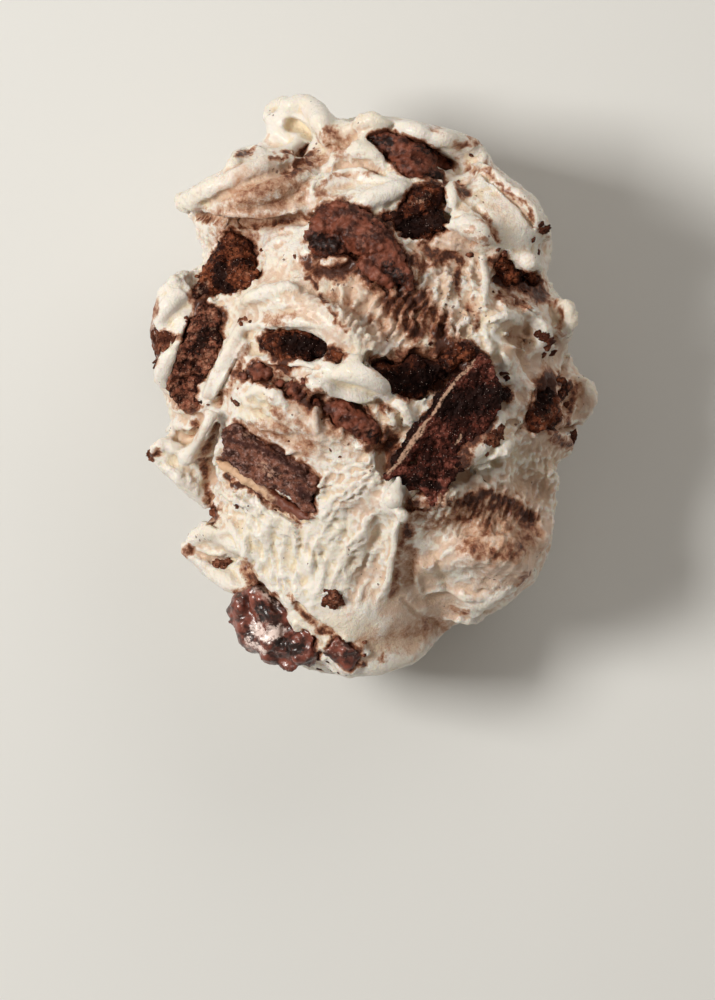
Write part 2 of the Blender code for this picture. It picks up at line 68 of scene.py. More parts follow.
# %% From a pixel of the photograph to a place on the heap
PIXEL = 0.155 * MM
MIDDLE_PIXEL = (371.5, 389.5)
PHOTO_SIZE = (715, 1000)
WIDEST_LEVEL = 21 * MM
LENS = 260.0
SENSOR = 36.0  # the long side of the picture, in the same units as the lens


def over(px, py):
    """The x and y that a pixel shows at the widest level."""
    return (px - MIDDLE_PIXEL[0]) * PIXEL, (MIDDLE_PIXEL[1] - py) * PIXEL


DISTANCE = PHOTO_SIZE[1] * PIXEL * LENS / SENSOR
EYE = Vector((*over(PHOTO_SIZE[0] / 2, PHOTO_SIZE[1] / 2), WIDEST_LEVEL + DISTANCE))


def skin_of(obj):
    """The outside of an object, to send lines onto."""
    return BVHTree.FromObject(obj, bpy.context.evaluated_depsgraph_get())


def landing(skin, px, py):
    """Where the line of sight through a pixel meets the skin, or passes nearest to it."""
    at_level = Vector((*over(px, py), WIDEST_LEVEL))
    sight = (at_level - EYE).normalized()
    place, normal = skin.ray_cast(EYE, sight)[:2]
    if place is None:
        near, normal = skin.find_nearest(at_level)[:2]
        place = EYE + sight * (near - EYE).dot(sight)
    return place, normal


# %% [markdown]
# ## Small helpers
#
# Loading leaves every solid selected, and an operator works on all that is selected. So each step first
# picks exactly the objects that it means. Modifiers are applied as soon as they are made, because every
# finished piece here is a plain mesh.

# %% Pick, apply, copy and join
def pick(*objs):
    """Makes these objects the only selected ones, and the first of them the active one."""
    bpy.ops.object.select_all(action="DESELECT")
    for obj in objs:
        obj.select_set(True)
    bpy.context.view_layer.objects.active = objs[0]


def apply(obj, kind, **settings):
    """Adds one modifier, with its settings, and applies it."""
    pick(obj)
    made = obj.modifiers.new(kind.lower(), kind)
    for name, value in settings.items():
        setattr(made, name, value)
    bpy.ops.object.modifier_apply(modifier=made.name)


def fuse(obj, grain):
    """Melts overlapping shapes into one skin with an even grain."""
    apply(obj, "REMESH", mode="VOXEL", voxel_size=grain)


def plain_copy(node, name):
    """A copy of a solid with its loose triangles merged."""
    made = bpy.data.objects.new(name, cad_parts[node].data.copy())
    bpy.context.scene.collection.objects.link(made)
    made.data.materials.clear()
    pick(made)
    bpy.ops.object.mode_set(mode="EDIT")
    bpy.ops.mesh.select_all(action="SELECT")
    bpy.ops.mesh.remove_doubles(threshold=0.01 * MM)
    bpy.ops.object.mode_set(mode="OBJECT")
    return made


def join(name, objs):
    """One object from several."""
    pick(*objs)
    bpy.ops.object.join()
    joined = bpy.context.object
    joined.name = name
    joined.data.name = name
    return joined


# %% [markdown]
# ## The heap under its folds
#
# The solid heap has a pocket round each wafer. Real cream has none: it is frozen onto the wafer. So a
# copy of every wafer is sunk a little towards the heap's middle and melted into the copy of the heap,
# which fills the pockets and leaves each wafer standing out. Smoothing then takes the flat triangles
# away.

# %% Fill the pockets and smooth the heap
HEAP_MIDDLE = Vector((0, 0, 20 * MM))
FILLING_SINK = 2.0 * MM
CORE_GRAIN = 0.8 * MM
CORE_SMOOTHINGS = 5
SMOOTHING = 0.5
WAFERS = sorted(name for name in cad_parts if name.startswith("wafer_"))


def filling(node):
    """A copy of a wafer, sunk towards the heap's middle."""
    low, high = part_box(node)
    inwards = (HEAP_MIDDLE - (low + high) / 2).normalized()
    made = plain_copy(node, node + "_filling")
    made.data.transform(Matrix.Translation(inwards * FILLING_SINK))
    return made


heap = join("cream", [plain_copy("ice_cream", "heap_core"), *[filling(node) for node in WAFERS]])
fuse(heap, CORE_GRAIN)
apply(heap, "SMOOTH", factor=SMOOTHING, iterations=CORE_SMOOTHINGS)
core_skin = skin_of(heap)
print("heap core has", len(heap.data.vertices), "points")

# %% [markdown]
# ## Wafers
#
# A chocolate wafer breaks into crumbly slabs: rough all over, dark, with ragged edges and open pores.
# Where the photograph shows a clean slab, it is melted out of a copy of its solid. Where it shows a
# ragged heap of crumbs, tubes and balls are laid over its pixels instead, and melted together. Both are
# then pushed in and out by textures: big lumps that break the outline, grains as in biscuit, and a fine
# grit.

# %% Tubes and balls on the skin
TIP = 0.45  # how thick a tube's end is, as a share of its last radius
TUBE_STEPS = 5  # how finely a tube is cut, along it and around it
MELTED_BALL = 3  # how often a ball that will be melted in is subdivided


def tubes(name, lines, skin):
    """Round tubes through pixels, each (lift, [(px, py, radius) ...]) in millimetres, as one mesh."""
    line = bpy.data.curves.new(name, "CURVE")
    line.dimensions = "3D"
    line.bevel_depth = MM
    line.bevel_resolution = TUBE_STEPS
    line.resolution_u = TUBE_STEPS
    line.use_fill_caps = True
    for lift, stops in lines:
        spline = line.splines.new("BEZIER")
        spline.bezier_points.add(len(stops) - 1)
        for point, (px, py, radius) in zip(spline.bezier_points, stops):
            place, _ = landing(skin, px, py)
            point.co = place + Vector((0, 0, lift * MM))
            point.radius = radius
            point.handle_left_type = "AUTO"
            point.handle_right_type = "AUTO"
        spline.bezier_points[0].radius *= TIP
        spline.bezier_points[-1].radius *= TIP
    made = bpy.data.objects.new(name, line)
    bpy.context.scene.collection.objects.link(made)
    pick(made)
    bpy.ops.object.convert(target="MESH")
    return bpy.context.object


def balls(spots):
    """Balls, each at a place with a radius in millimetres: copies of the mesh of one that is added."""
    bpy.ops.mesh.primitive_ico_sphere_add(subdivisions=MELTED_BALL, radius=MM)
    first = bpy.context.object
    made = []
    for place, radius in spots:
        copy = bpy.data.objects.new("ball", first.data.copy())
        bpy.context.scene.collection.objects.link(copy)
        copy.data.transform(Matrix.Translation(place) @ Matrix.Diagonal((radius, radius, radius, 1)))
        made.append(copy)
    bpy.data.objects.remove(first)
    return made


# %% Shapes of the ragged wafers
# For each: how far its tubes stand above the skin, then each tube's pixels and radii.
RAGGED = {
    "wafer_crown": (0.5, [
        [(370, 135, 1.0), (384, 142, 1.6), (400, 150, 2.0), (418, 158, 2.1), (436, 164, 1.8),
         (452, 168, 1.0)],
        [(398, 160, 1.2), (410, 170, 1.8), (428, 174, 1.7), (442, 176, 1.0)],
    ]),
    "wafer_crumbly_right": (0.4, [
        [(398, 226, 1.4), (410, 214, 2.2), (424, 206, 2.4), (438, 204, 1.8)],
        [(404, 236, 1.3), (418, 230, 2.2), (432, 224, 2.2), (444, 222, 1.5)],
        [(403, 205, 1.1), (413, 199, 1.3), (428, 195, 1.3), (444, 198, 1.0)],
        [(384, 220, 0.9), (394, 218, 1.2), (402, 214, 1.3)],
    ]),
    "wafer_folded": (0.6, [
        [(306, 240, 1.0), (318, 232, 1.9), (332, 220, 2.6), (346, 222, 3.0), (362, 234, 3.0), (378, 248, 2.7),
         (392, 262, 2.2), (404, 278, 1.4), (412, 290, 0.8)],
        [(310, 247, 1.2), (322, 247, 1.8), (336, 247, 1.8), (350, 248, 1.2)],
        [(360, 262, 1.0), (370, 268, 1.4), (380, 276, 1.2), (392, 286, 0.8)],
    ]),
    "wafer_crumbly_left": (0.4, [
        [(192, 300, 1.1), (202, 290, 1.7), (214, 280, 2.3), (228, 272, 2.6), (242, 268, 2.3),
         (256, 266, 1.3)],
        [(208, 272, 1.2), (218, 264, 1.9), (228, 252, 2.0), (240, 244, 2.0), (250, 246, 1.3)],
        [(220, 286, 1.5), (232, 284, 1.9), (246, 280, 1.5), (258, 272, 1.0)],
        [(232, 260, 1.8), (244, 256, 2.0), (254, 258, 1.2)],
    ]),
    "wafer_in_hollow": (1.0, [
        [(264, 350, 1.3), (276, 343, 2.0), (292, 340, 2.4), (308, 344, 2.3), (322, 350, 1.8),
         (340, 358, 0.9)],
        [(268, 357, 1.1), (282, 358, 1.8), (298, 360, 1.9), (314, 358, 1.3)],
        [(284, 333, 0.9), (298, 331, 1.1), (310, 336, 0.9)],
    ]),
    "wafer_nuggets": (1.0, [
        [(239, 374, 1.3), (246, 377, 1.5)],
        [(251, 370, 1.2), (260, 372, 1.4), (270, 377, 1.3)],
        [(277, 382, 1.7), (283, 386, 1.8)],
        [(292, 388, 2.2), (300, 393, 2.4)],
        [(301, 379, 1.0), (305, 384, 1.1)],
    ]),
    "wafer_smeared": (0.4, [
        [(312, 402, 1.6), (317, 406, 1.8)],
        [(326, 408, 1.1), (340, 412, 1.9), (354, 420, 2.0), (368, 430, 1.8), (382, 438, 1.2)],
        [(336, 402, 0.8), (346, 406, 1.2), (358, 412, 1.1)],
        [(352, 430, 0.9), (366, 438, 1.2), (380, 444, 0.8)],
    ]),
    "wafer_deep": (0.2, [
        [(436, 366, 1.2), (450, 358, 1.6), (466, 352, 1.3), (476, 350, 0.7)],
        [(376, 372, 1.1), (390, 376, 1.8), (406, 378, 2.2), (424, 374, 2.2), (440, 368, 1.6),
         (450, 362, 0.9)],
        [(382, 384, 0.9), (398, 388, 1.6), (414, 390, 1.7), (428, 384, 1.2)],
        [(398, 368, 1.0), (412, 364, 1.4), (428, 362, 1.1)],
    ]),
    "wafer_right_pit": (0.3, [
        [(548, 384, 1.0), (546, 396, 1.6), (542, 408, 1.9), (538, 420, 1.8), (534, 432, 1.1)],
        [(552, 404, 1.0), (550, 416, 1.5), (548, 428, 1.2)],
        [(556, 380, 0.6), (562, 388, 0.8), (558, 396, 0.8)],
    ]),
    "wafer_low_edge": (0.9, [
        [(218, 462, 0.8), (232, 470, 0.8), (250, 481, 0.85), (268, 493, 0.85), (286, 505, 0.8),
         (300, 513, 0.8),
         (310, 518, 0.9)],
    ]),
    "wafer_right_shoulder": (0.3, [
        [(496, 260, 0.9), (504, 266, 1.5), (512, 276, 1.8), (520, 286, 1.3)],
        [(514, 268, 0.9), (524, 272, 1.4), (534, 282, 1.2)],
        [(520, 290, 0.8), (528, 294, 0.9)],
    ]),
}
print(len(RAGGED), "ragged wafers")

# %% Broken edges of the slabs, and the lumps of the soaked corner
# Slabs keep their solid's shape, and these tubes break up their straight edges.
EDGES = {
    "wafer_big_slab": (1.0, [
        [(384, 477, 0.6), (396, 473, 0.9), (410, 472, 1.2), (424, 474, 1.2), (438, 480, 0.8)],
        [(402, 480, 1.2), (414, 482, 1.0), (428, 484, 0.9), (440, 485, 1.0)],
        [(390, 474, 0.9), (401, 460, 1.2), (413, 443, 1.3), (428, 420, 1.2), (443, 400, 1.2),
         (458, 382, 1.1), (470, 368, 0.9)],
        [(486, 400, 1.0), (498, 396, 1.3), (510, 392, 0.8)],
    ]),
    "wafer_left_slab": (0.4, [
        [(204, 318, 0.9), (212, 316, 1.2), (218, 324, 1.1)],
        [(176, 386, 1.0), (184, 398, 1.3), (196, 402, 1.2), (206, 400, 0.8)],
    ]),
    "wafer_low_slab": (0.6, [
        [(228, 434, 0.7), (236, 432, 0.9), (246, 438, 0.9)],
        [(302, 476, 1.0), (314, 484, 1.2), (316, 494, 0.9)],
        [(296, 500, 0.8), (308, 506, 0.9), (316, 512, 0.6)],
    ]),
}
CORNER_LUMPS = [
    (241, 608, 2.2), (250, 622, 2.6), (256, 638, 2.4), (264, 604, 2.0), (272, 618, 2.6), (274, 636, 2.8),
    (284, 646, 1.9), (270, 652, 2.0), (290, 612, 1.4), (298, 640, 1.8), (304, 654, 2.0), (318, 658, 1.5),
]
LUMP_SINK = 0.4  # how deep a lump sits in the corner's skin, as a share of its radius


def wafer_block(node):
    """What a wafer is broken out of."""
    if node in RAGGED:
        lift, lines = RAGGED[node]
        return tubes(node + "_block", [(lift, stops) for stops in lines], core_skin)
    block = plain_copy(node, node + "_block")
    if node == "wafer_low_corner":
        skin = skin_of(block)
        sunk = [
            (landing(skin, px, py)[0] - Vector((0, 0, LUMP_SINK * radius * MM)), radius)
            for px, py, radius in CORNER_LUMPS
        ]
        block = join(node + "_block", [block, *balls(sunk)])
    if node in EDGES:
        lift, lines = EDGES[node]
        edges = tubes(node + "_edges", [(lift, stops) for stops in lines], core_skin)
        block = join(node + "_block", [block, edges])
    return block


print(len(EDGES), "wafers with broken edges,", len(CORNER_LUMPS), "lumps on the soaked corner")

# %% Push a surface in and out with a texture
RIPPLE = 12.0  # how strongly noise bends a wood texture's bands


def rough_up(obj, kind, size, depth):
    """Moves a mesh in and out along its normals by a procedural texture."""
    texture = bpy.data.textures.new(kind.lower(), kind)
    texture.noise_scale = size * MM
    if kind == "WOOD":
        texture.wood_type = "BANDNOISE"
        texture.turbulence = RIPPLE
    apply(obj, "DISPLACE", texture=texture, texture_coords="LOCAL", strength=depth * MM, mid_level=0.5)
    bpy.data.textures.remove(texture)


# %% Break each block into a wafer
WAFER_GRAIN = 0.33 * MM
# Kinds of wafer: the size and depth of its bends, lumps, grains and grit, all in millimetres.
KINDS = {
    "crumbly": ((5.5, 1.6), (2.4, 1.9), (1.0, -0.8), (0.5, 0.55)),
    "slab": ((5.5, 1.8), (2.2, 1.4), (0.9, -0.7), (0.5, 0.5)),
    "satin": ((5.0, 1.0), (1.8, 1.1), (1.0, -0.5), (0.5, 0.3)),
    "frosted": ((5.5, 1.6), (2.2, 1.1), (0.8, -0.6), (0.45, 0.45)),
    "strip": ((4.5, 0.9), (1.4, 0.8), (0.8, -0.4), (0.5, 0.35)),
    "soaked": ((5.5, 1.8), (3.2, 1.5), (1.1, 0.7), (0.5, 0.2)),
    "dusty": ((5.5, 1.8), (2.2, 1.4), (0.9, -0.7), (0.5, 0.5)),
}
GRAIN_TEXTURES = {"satin": "WOOD", "soaked": "CLOUDS"}
KIND_OF = {
    "wafer_crown": "satin",
    "wafer_folded": "satin",
    "wafer_nuggets": "satin",
    "wafer_smeared": "satin",
    "wafer_big_slab": "slab",
    "wafer_left_slab": "dusty",
    "wafer_low_slab": "frosted",
    "wafer_low_edge": "strip",
    "wafer_low_corner": "soaked",
    "wafer_low_chip": "soaked",
}

wafers = {}
for node in WAFERS:
    piece = wafer_block(node)
    fuse(piece, WAFER_GRAIN)
    piece.name = node.replace("wafer_", "biscuit_")
    piece.data.name = piece.name
    kind = KIND_OF.get(node, "crumbly")
    bends, lumps, grains, grit = KINDS[kind]
    rough_up(piece, "CLOUDS", *bends)
    rough_up(piece, "CLOUDS", *lumps)
    rough_up(piece, GRAIN_TEXTURES.get(kind, "VORONOI"), *grains)
    rough_up(piece, "CLOUDS", *grit)
    bpy.ops.object.shade_smooth()
    wafers[node] = piece
print(len(wafers), "wafers,", sum(len(piece.data.polygons) for piece in wafers.values()), "faces")

# %% [markdown]
# ## Folds
#
# Cream that a spoon pushes aside piles up in rounded folds, lips, knobs and drips. Each is a tube that
# follows the heap's skin through a few places, thick or thin as the real fold is. All of them are tubes
# of one curve, so one conversion and one melt make them part of the heap. A place is a pixel and a radius
# in millimetres, and each fold first says how far its middle stands above the skin.

# %% The folds, from the top of the heap down
FOLDS = {
    "knob_arch": (0.2, [
        (268, 122, 1.5), (272, 110, 1.5), (281, 104, 1.2), (290, 106, 1.4), (302, 103, 1.5),
        (314, 110, 1.8), (322, 124, 1.9), (327, 138, 1.6),
    ]),
    "knob_slope": (-0.7, [(272, 126, 1.8), (280, 134, 2.0), (290, 142, 1.6)]),
    "knob_leg": (0.0, [(318, 134, 1.2), (330, 142, 1.4), (344, 150, 1.2)]),
    "peak_1": (0.5, [(446, 268, 0.6), (450, 282, 0.9), (448, 296, 0.8)]),
    "peak_2": (0.5, [(496, 292, 0.7), (502, 306, 1.0), (498, 320, 0.8)]),
    "peak_3": (0.4, [(462, 306, 0.6), (470, 320, 0.9), (472, 336, 0.8)]),
    "peak_4": (0.4, [(520, 300, 0.7), (530, 310, 0.9), (544, 314, 0.7)]),
    "peak_5": (0.3, [(486, 336, 0.7), (490, 350, 0.9), (486, 364, 0.7)]),
    "shoulder_rim": (0.2, [(222, 176, 0.9), (234, 163, 1.2), (248, 153, 1.2), (264, 150, 1.0)]),
    "leaf_tip": (0.4, [(187, 203, 4.2), (200, 197, 4.2)]),
    "leaf_rim": (0.6, [
        (188, 202, 3.2), (202, 194, 1.8), (226, 183, 1.6), (252, 170, 1.6), (280, 161, 1.3), (306, 158, 1.0),
    ]),
    "leaf_body": (0.1, [(218, 207, 1.2), (244, 197, 1.9), (270, 188, 2.2), (298, 178, 1.8), (316, 168, 1.2)]),
    "leaf_edge": (0.2, [(206, 211, 0.8), (236, 214, 1.0), (270, 215, 1.1), (304, 208, 1.0)]),
    "crown_lump": (0.2, [
        (330, 166, 1.2), (340, 155, 1.6), (356, 150, 1.7), (372, 154, 1.5), (386, 168, 1.0),
    ]),
    "crown_band": (0.3, [
        (308, 190, 1.0), (322, 178, 1.1), (342, 171, 0.9), (362, 169, 0.9), (380, 173, 0.8),
    ]),
    "crown_band_low": (0.1, [
        (312, 196, 0.8), (330, 186, 0.9), (352, 180, 0.9), (374, 178, 0.8), (396, 182, 0.8),
    ]),
    "crown_ridge": (0.1, [(376, 176, 0.7), (394, 176, 0.7), (410, 184, 0.7), (426, 196, 0.6)]),
    "tongue": (0.2, [(350, 212, 1.5), (366, 202, 1.7), (384, 194, 1.6), (400, 188, 1.5), (414, 186, 1.0)]),
    "tongue_low": (0.0, [(340, 214, 1.2), (356, 220, 1.4), (376, 222, 1.2)]),
    "edge_back": (-1.0, [
        (352, 130, 1.6), (374, 127, 1.8), (396, 128, 1.8), (420, 133, 1.8), (440, 139, 1.5),
    ]),
    "edge_lump_1": (0.2, [(352, 129, 1.0), (360, 122, 1.3), (374, 121, 1.5), (390, 125, 1.3)]),
    "edge_lump_2": (0.1, [(386, 132, 1.2), (402, 129, 1.5), (420, 133, 1.5), (436, 138, 1.2)]),
    "edge_lump_3": (0.0, [(424, 144, 1.2), (438, 138, 1.5), (452, 140, 1.4), (464, 146, 1.1)]),
    "edge_right": (0.0, [
        (454, 148, 1.2), (467, 144, 1.4), (477, 151, 1.4), (482, 160, 1.2), (474, 168, 1.0),
    ]),
    "face_rim": (0.4, [
        (470, 164, 0.8), (488, 170, 0.9), (506, 184, 0.9), (524, 200, 0.9), (538, 220, 0.9), (546, 240, 0.9),
    ]),
    "face_inner": (0.0, [(478, 176, 0.7), (496, 188, 0.7), (512, 204, 0.7)]),
    "stub": (1.8, [(451, 186, 2.8), (453, 197, 1.6), (451, 209, 3.4)]),
    "stub_left": (0.5, [(441, 203, 1.2), (446, 212, 1.4)]),
    "bulge_top": (0.7, [(450, 226, 1.6), (464, 226, 2.0), (480, 233, 2.0), (491, 244, 1.7)]),
    "bulge_low": (0.1, [(440, 240, 0.9), (456, 246, 1.1), (470, 252, 1.0)]),
    "ball_cap": (0.9, [(520, 260, 2.2), (527, 262, 1.9), (535, 267, 1.6)]),
    "right_rib": (0.5, [(482, 258, 0.7), (484, 272, 0.8), (485, 288, 0.8), (484, 300, 0.6)]),
    "right_rib_low": (0.2, [(468, 264, 0.6), (470, 280, 0.7), (474, 296, 0.6)]),
    "right_hook": (0.2, [(496, 262, 0.7), (506, 276, 0.8), (512, 292, 0.8), (522, 300, 0.7)]),
    "lobe_rim": (0.1, [(166, 292, 1.3), (176, 280, 1.3), (190, 272, 1.1)]),
    "lobe_face": (0.0, [(160, 322, 1.4), (168, 306, 1.6), (182, 294, 1.4), (196, 292, 1.0)]),
    "collar": (2.2, [(214, 301, 1.6), (203, 313, 1.4), (192, 327, 1.6), (183, 342, 1.5), (173, 353, 1.6)]),
    "pale_strip": (0.8, [
        (243, 322, 1.3), (236, 338, 1.2), (229, 352, 1.3), (221, 368, 1.25), (213, 384, 1.2), (206, 397, 1.8),
    ]),
    "strip_side": (0.5, [
        (248, 340, 1.3), (240, 354, 1.3), (232, 369, 1.3), (223, 385, 1.2), (214, 399, 1.6),
    ]),
    "white_drop": (1.8, [(175, 349, 1.4), (169, 358, 1.3), (164, 370, 1.7), (165, 381, 3.0)]),
    "under_left_slab": (0.2, [(166, 398, 0.9), (180, 408, 1.1), (198, 408, 0.9), (212, 400, 0.7)]),
    "long_drip": (3.0, [
        (213, 411, 2.6), (209, 422, 0.95), (204, 432, 0.62),
        (199, 441, 0.62), (193, 449, 0.9), (188, 456, 2.6),
    ]),
    "left_knuckle": (0.3, [(166, 432, 1.0), (178, 424, 1.2), (192, 430, 1.0)]),
    "left_flap": (0.2, [(150, 455, 1.2), (160, 446, 1.5), (176, 448, 1.6), (186, 462, 1.4)]),
    "flap_low": (0.0, [(164, 466, 1.2), (180, 478, 1.4), (196, 490, 1.4), (206, 506, 1.0)]),
    "ridge_top": (0.3, [(238, 306, 0.9), (252, 298, 1.3), (272, 292, 1.5), (290, 290, 1.4), (302, 294, 1.0)]),
    "ridge_middle": (0.0, [(228, 330, 0.9), (246, 326, 1.1), (262, 324, 1.0)]),
    "swoop": (-0.9, [
        (262, 309, 1.4), (290, 303, 2.2), (316, 311, 2.4), (342, 329, 2.4), (366, 348, 2.0), (384, 362, 1.3),
    ]),
    "swoop_low": (0.1, [(338, 354, 1.2), (356, 362, 1.5), (376, 366, 1.4)]),
    "hollow_brow": (0.0, [(256, 328, 0.9), (276, 323, 1.0), (300, 321, 1.0), (322, 327, 0.9)]),
    "nugget_brow": (0.1, [
        (238, 362, 1.0), (256, 362, 1.2), (280, 364, 1.2), (302, 366, 1.2), (322, 372, 1.0),
    ]),
    "white_tongue": (0.6, [
        (332, 376, 1.5), (350, 372, 2.0), (368, 376, 1.9), (382, 386, 1.3), (390, 394, 0.8),
    ]),
    "tongue_root": (0.9, [
        (304, 376, 1.3), (318, 386, 1.7), (336, 393, 1.8), (356, 397, 1.5), (374, 402, 1.2),
    ]),
    "white_lump": (0.3, [(244, 396, 1.4), (260, 392, 1.8), (276, 398, 1.5), (288, 406, 1.0)]),
    "lump_low": (0.0, [(232, 412, 1.1), (250, 416, 1.4), (270, 424, 1.5), (290, 434, 1.3)]),
    "streak_rib": (0.5, [(318, 404, 0.8), (314, 420, 0.8), (318, 434, 0.9)]),
    "slab_brow": (0.0, [(226, 424, 0.9), (248, 426, 1.1), (274, 438, 1.1), (300, 452, 0.9)]),
    "slab_left": (0.1, [(224, 436, 0.7), (218, 452, 0.8), (214, 466, 0.8)]),
    "finger": (0.2, [(396, 402, 0.8), (404, 410, 1.1), (412, 422, 1.2)]),
    "finger_left": (0.0, [(384, 404, 0.7), (390, 418, 0.9), (398, 430, 0.9)]),
    "white_blob": (0.4, [(503, 354, 0.9), (506, 364, 1.0), (504, 374, 1.0)]),
    "cave_brow": (0.5, [(488, 324, 0.9), (500, 316, 1.1), (514, 318, 1.2), (522, 326, 1.4)]),
    "cave_floor": (0.6, [(506, 334, 1.0), (516, 336, 1.4), (528, 342, 1.2)]),
    "cave_floor_low": (0.4, [(512, 346, 0.9), (524, 350, 1.1)]),
    "right_lobe": (0.2, [(556, 300, 1.0), (566, 306, 1.4), (570, 320, 1.5), (566, 334, 1.3)]),
    "right_fold": (0.0, [(540, 318, 1.0), (548, 334, 1.2), (552, 352, 1.2)]),
    "right_nub": (0.2, [(566, 350, 0.8), (570, 358, 0.8)]),
    "right_ear": (0.3, [(576, 378, 1.2), (588, 388, 1.5), (590, 402, 1.4), (582, 414, 1.1)]),
    "ear_fold": (0.1, [(560, 374, 0.9), (572, 392, 1.0), (574, 412, 0.9)]),
    "pit_left": (0.1, [(534, 380, 0.8), (532, 398, 0.9), (528, 416, 0.8)]),
    "pale_block": (0.8, [(510, 394, 1.8), (513, 406, 1.6), (512, 420, 1.8)]),
    "ear_foot": (0.2, [(556, 432, 0.9), (566, 440, 1.0), (572, 448, 0.9)]),
    "slab_side": (1.0, [(504, 412, 1.6), (493, 427, 2.0), (478, 444, 2.1), (462, 460, 1.8), (448, 474, 1.4)]),
    "slab_side_low": (0.5, [(514, 434, 1.4), (502, 450, 1.8), (486, 462, 1.7), (470, 470, 1.2)]),
    "wavy_lip": (0.3, [(440, 476, 0.7), (446, 486, 0.7), (456, 490, 0.7), (464, 484, 0.6)]),
    "slab_foot": (1.7, [(410, 499, 1.4), (424, 500, 1.6), (440, 498, 1.7), (456, 491, 1.6)]),
    "small_ball": (1.4, [(474, 478, 2.0), (477, 478, 2.0)]),
    "bead": (2.2, [(399, 476, 1.0), (398, 482, 0.7), (396, 488, 1.05), (394, 494, 1.45), (393, 499, 3.2)]),
    "bead_tail": (1.3, [(400, 510, 1.6), (403, 519, 1.9)]),
    "fold_lump": (0.8, [(320, 264, 1.6), (332, 262, 1.2), (346, 261, 1.3), (358, 264, 1.4)]),
    "thin_ridge": (0.6, [
        (399, 521, 1.0), (394, 533, 0.7), (395, 547, 0.9), (390, 561, 0.75), (389, 575, 0.9), (384, 590, 1.0),
    ]),
    "band_ridge": (0.1, [
        (412, 512, 0.8), (436, 508, 0.8), (460, 498, 0.8), (486, 486, 0.8), (508, 480, 0.7),
    ]),
    "pocket_left": (0.0, [(424, 548, 0.6), (418, 566, 0.6), (418, 584, 0.6), (424, 600, 0.6)]),
    "pocket_floor": (1.2, [(427, 562, 3.0), (431, 577, 2.9), (436, 594, 4.0)]),
    "pocket_right": (0.1, [(440, 560, 0.8), (452, 548, 0.9), (468, 536, 0.9)]),
    "saddle": (0.0, [(450, 590, 1.2), (466, 594, 1.4), (484, 598, 1.2)]),
    "right_edge_high": (0.0, [(552, 470, 0.9), (556, 484, 0.9), (552, 500, 0.8)]),
    "right_edge_low": (0.0, [(540, 500, 0.8), (550, 516, 0.9), (552, 534, 0.8)]),
    "rim_low": (0.0, [(444, 618, 0.9), (466, 620, 1.0), (490, 610, 1.0), (512, 598, 0.9)]),
    "low_flap_top": (0.3, [(186, 545, 1.1), (196, 536, 1.5), (212, 530, 1.7), (228, 530, 1.4)]),
    "low_flap_middle": (0.0, [(198, 560, 1.3), (214, 572, 1.6), (234, 584, 1.7), (254, 592, 1.4)]),
    "low_flap_lip": (0.2, [(204, 548, 0.8), (214, 554, 0.9), (226, 552, 0.8)]),
    "fan_root": (0.2, [(216, 488, 0.9), (228, 494, 1.1), (244, 502, 1.1), (262, 510, 0.9)]),
    "fan_left": (0.1, [(214, 510, 0.8), (226, 518, 1.0), (236, 532, 1.1), (244, 550, 1.0)]),
}

# Round ends of drips and knobs: the pixel, how far the middle stands above the skin, and the radius.
DROPS = [
    (393, 498, 2.2, 1.75), (402, 515, 1.1, 1.15), (187, 457, 2.7, 1.7), (166, 378, 1.6, 1.8),
    (187, 203, 0.4, 2.0), (528, 262, 0.8, 1.7), (476, 478, 1.3, 1.1),
]

# %% [markdown]
# Cream also squeezes up in little lumps along a wafer's edge and laps over it. A seeded draw drops balls
# on the skin, and those that land close beside a wafer are kept.

# %% Lay the folds and the lumps on the heap and melt them in
FINE_GRAIN = 0.31 * MM
LUMP_TRIES = 260
LUMP_RADII = (0.3, 0.85)
LUMP_GAP = (0.0, 0.9)  # how far from a wafer a lump may lie, in millimetres
LUMP_LIFT = 0.3  # how far a lump's middle stands above the skin, as a share of its radius
FOLD_SMOOTHINGS = 3
OVERHEAD = 0.2  # a height above everything, in metres
DOWN = Vector((0, 0, -1))

lump_draw = random.Random(11)


def edge_lumps(piece):
    """Places and radii for balls of cream beside a wafer."""
    skin = skin_of(piece)
    low, high = map(Vector, (np.array(piece.bound_box).min(axis=0), np.array(piece.bound_box).max(axis=0)))
    spots = []
    for _ in range(LUMP_TRIES):
        x = lump_draw.uniform(low.x - MM, high.x + MM)
        y = lump_draw.uniform(low.y - MM, high.y + MM)
        radius = lump_draw.uniform(*LUMP_RADII)
        place = core_skin.ray_cast(Vector((x, y, OVERHEAD)), DOWN)[0]
        if place is None:
            continue
        near, normal, _, gap = skin.find_nearest(place)
        outside = (place - near).dot(normal) > 0
        if outside and LUMP_GAP[0] < gap / MM < LUMP_GAP[1]:
            spots.append((place + Vector((0, 0, LUMP_LIFT * radius * MM)), radius))
    return spots


CLEAN_EDGED = ("wafer_big_slab", "wafer_low_edge")  # no lumps lap over these
lumps = [spot for node in WAFERS if node not in CLEAN_EDGED for spot in edge_lumps(wafers[node])]
for px, py, lift, radius in DROPS:
    lumps.append((landing(core_skin, px, py)[0] + Vector((0, 0, lift * MM)), radius))
heap = join("cream", [heap, tubes("folds", FOLDS.values(), core_skin), *balls(lumps)])
fuse(heap, FINE_GRAIN)
apply(heap, "SMOOTH", factor=SMOOTHING, iterations=FOLD_SMOOTHINGS)
print(len(FOLDS), "folds,", len(lumps), "lumps; the heap has", len(heap.data.vertices), "points")

# %% [markdown]
# ## Combed ridges, tears and creases
#
# Where the spoon dragged, frozen cream tears into rows of ragged ridges, like the teeth of a comb, and
# where it broke it is craggy. A Displace modifier with a wood texture could raise such rows, but the
# stains lie in the same valleys. So the wave is worked out point by point, and kept, and the colour reads
# it later. Creases are the opposite of folds: lines along which points are pushed in.

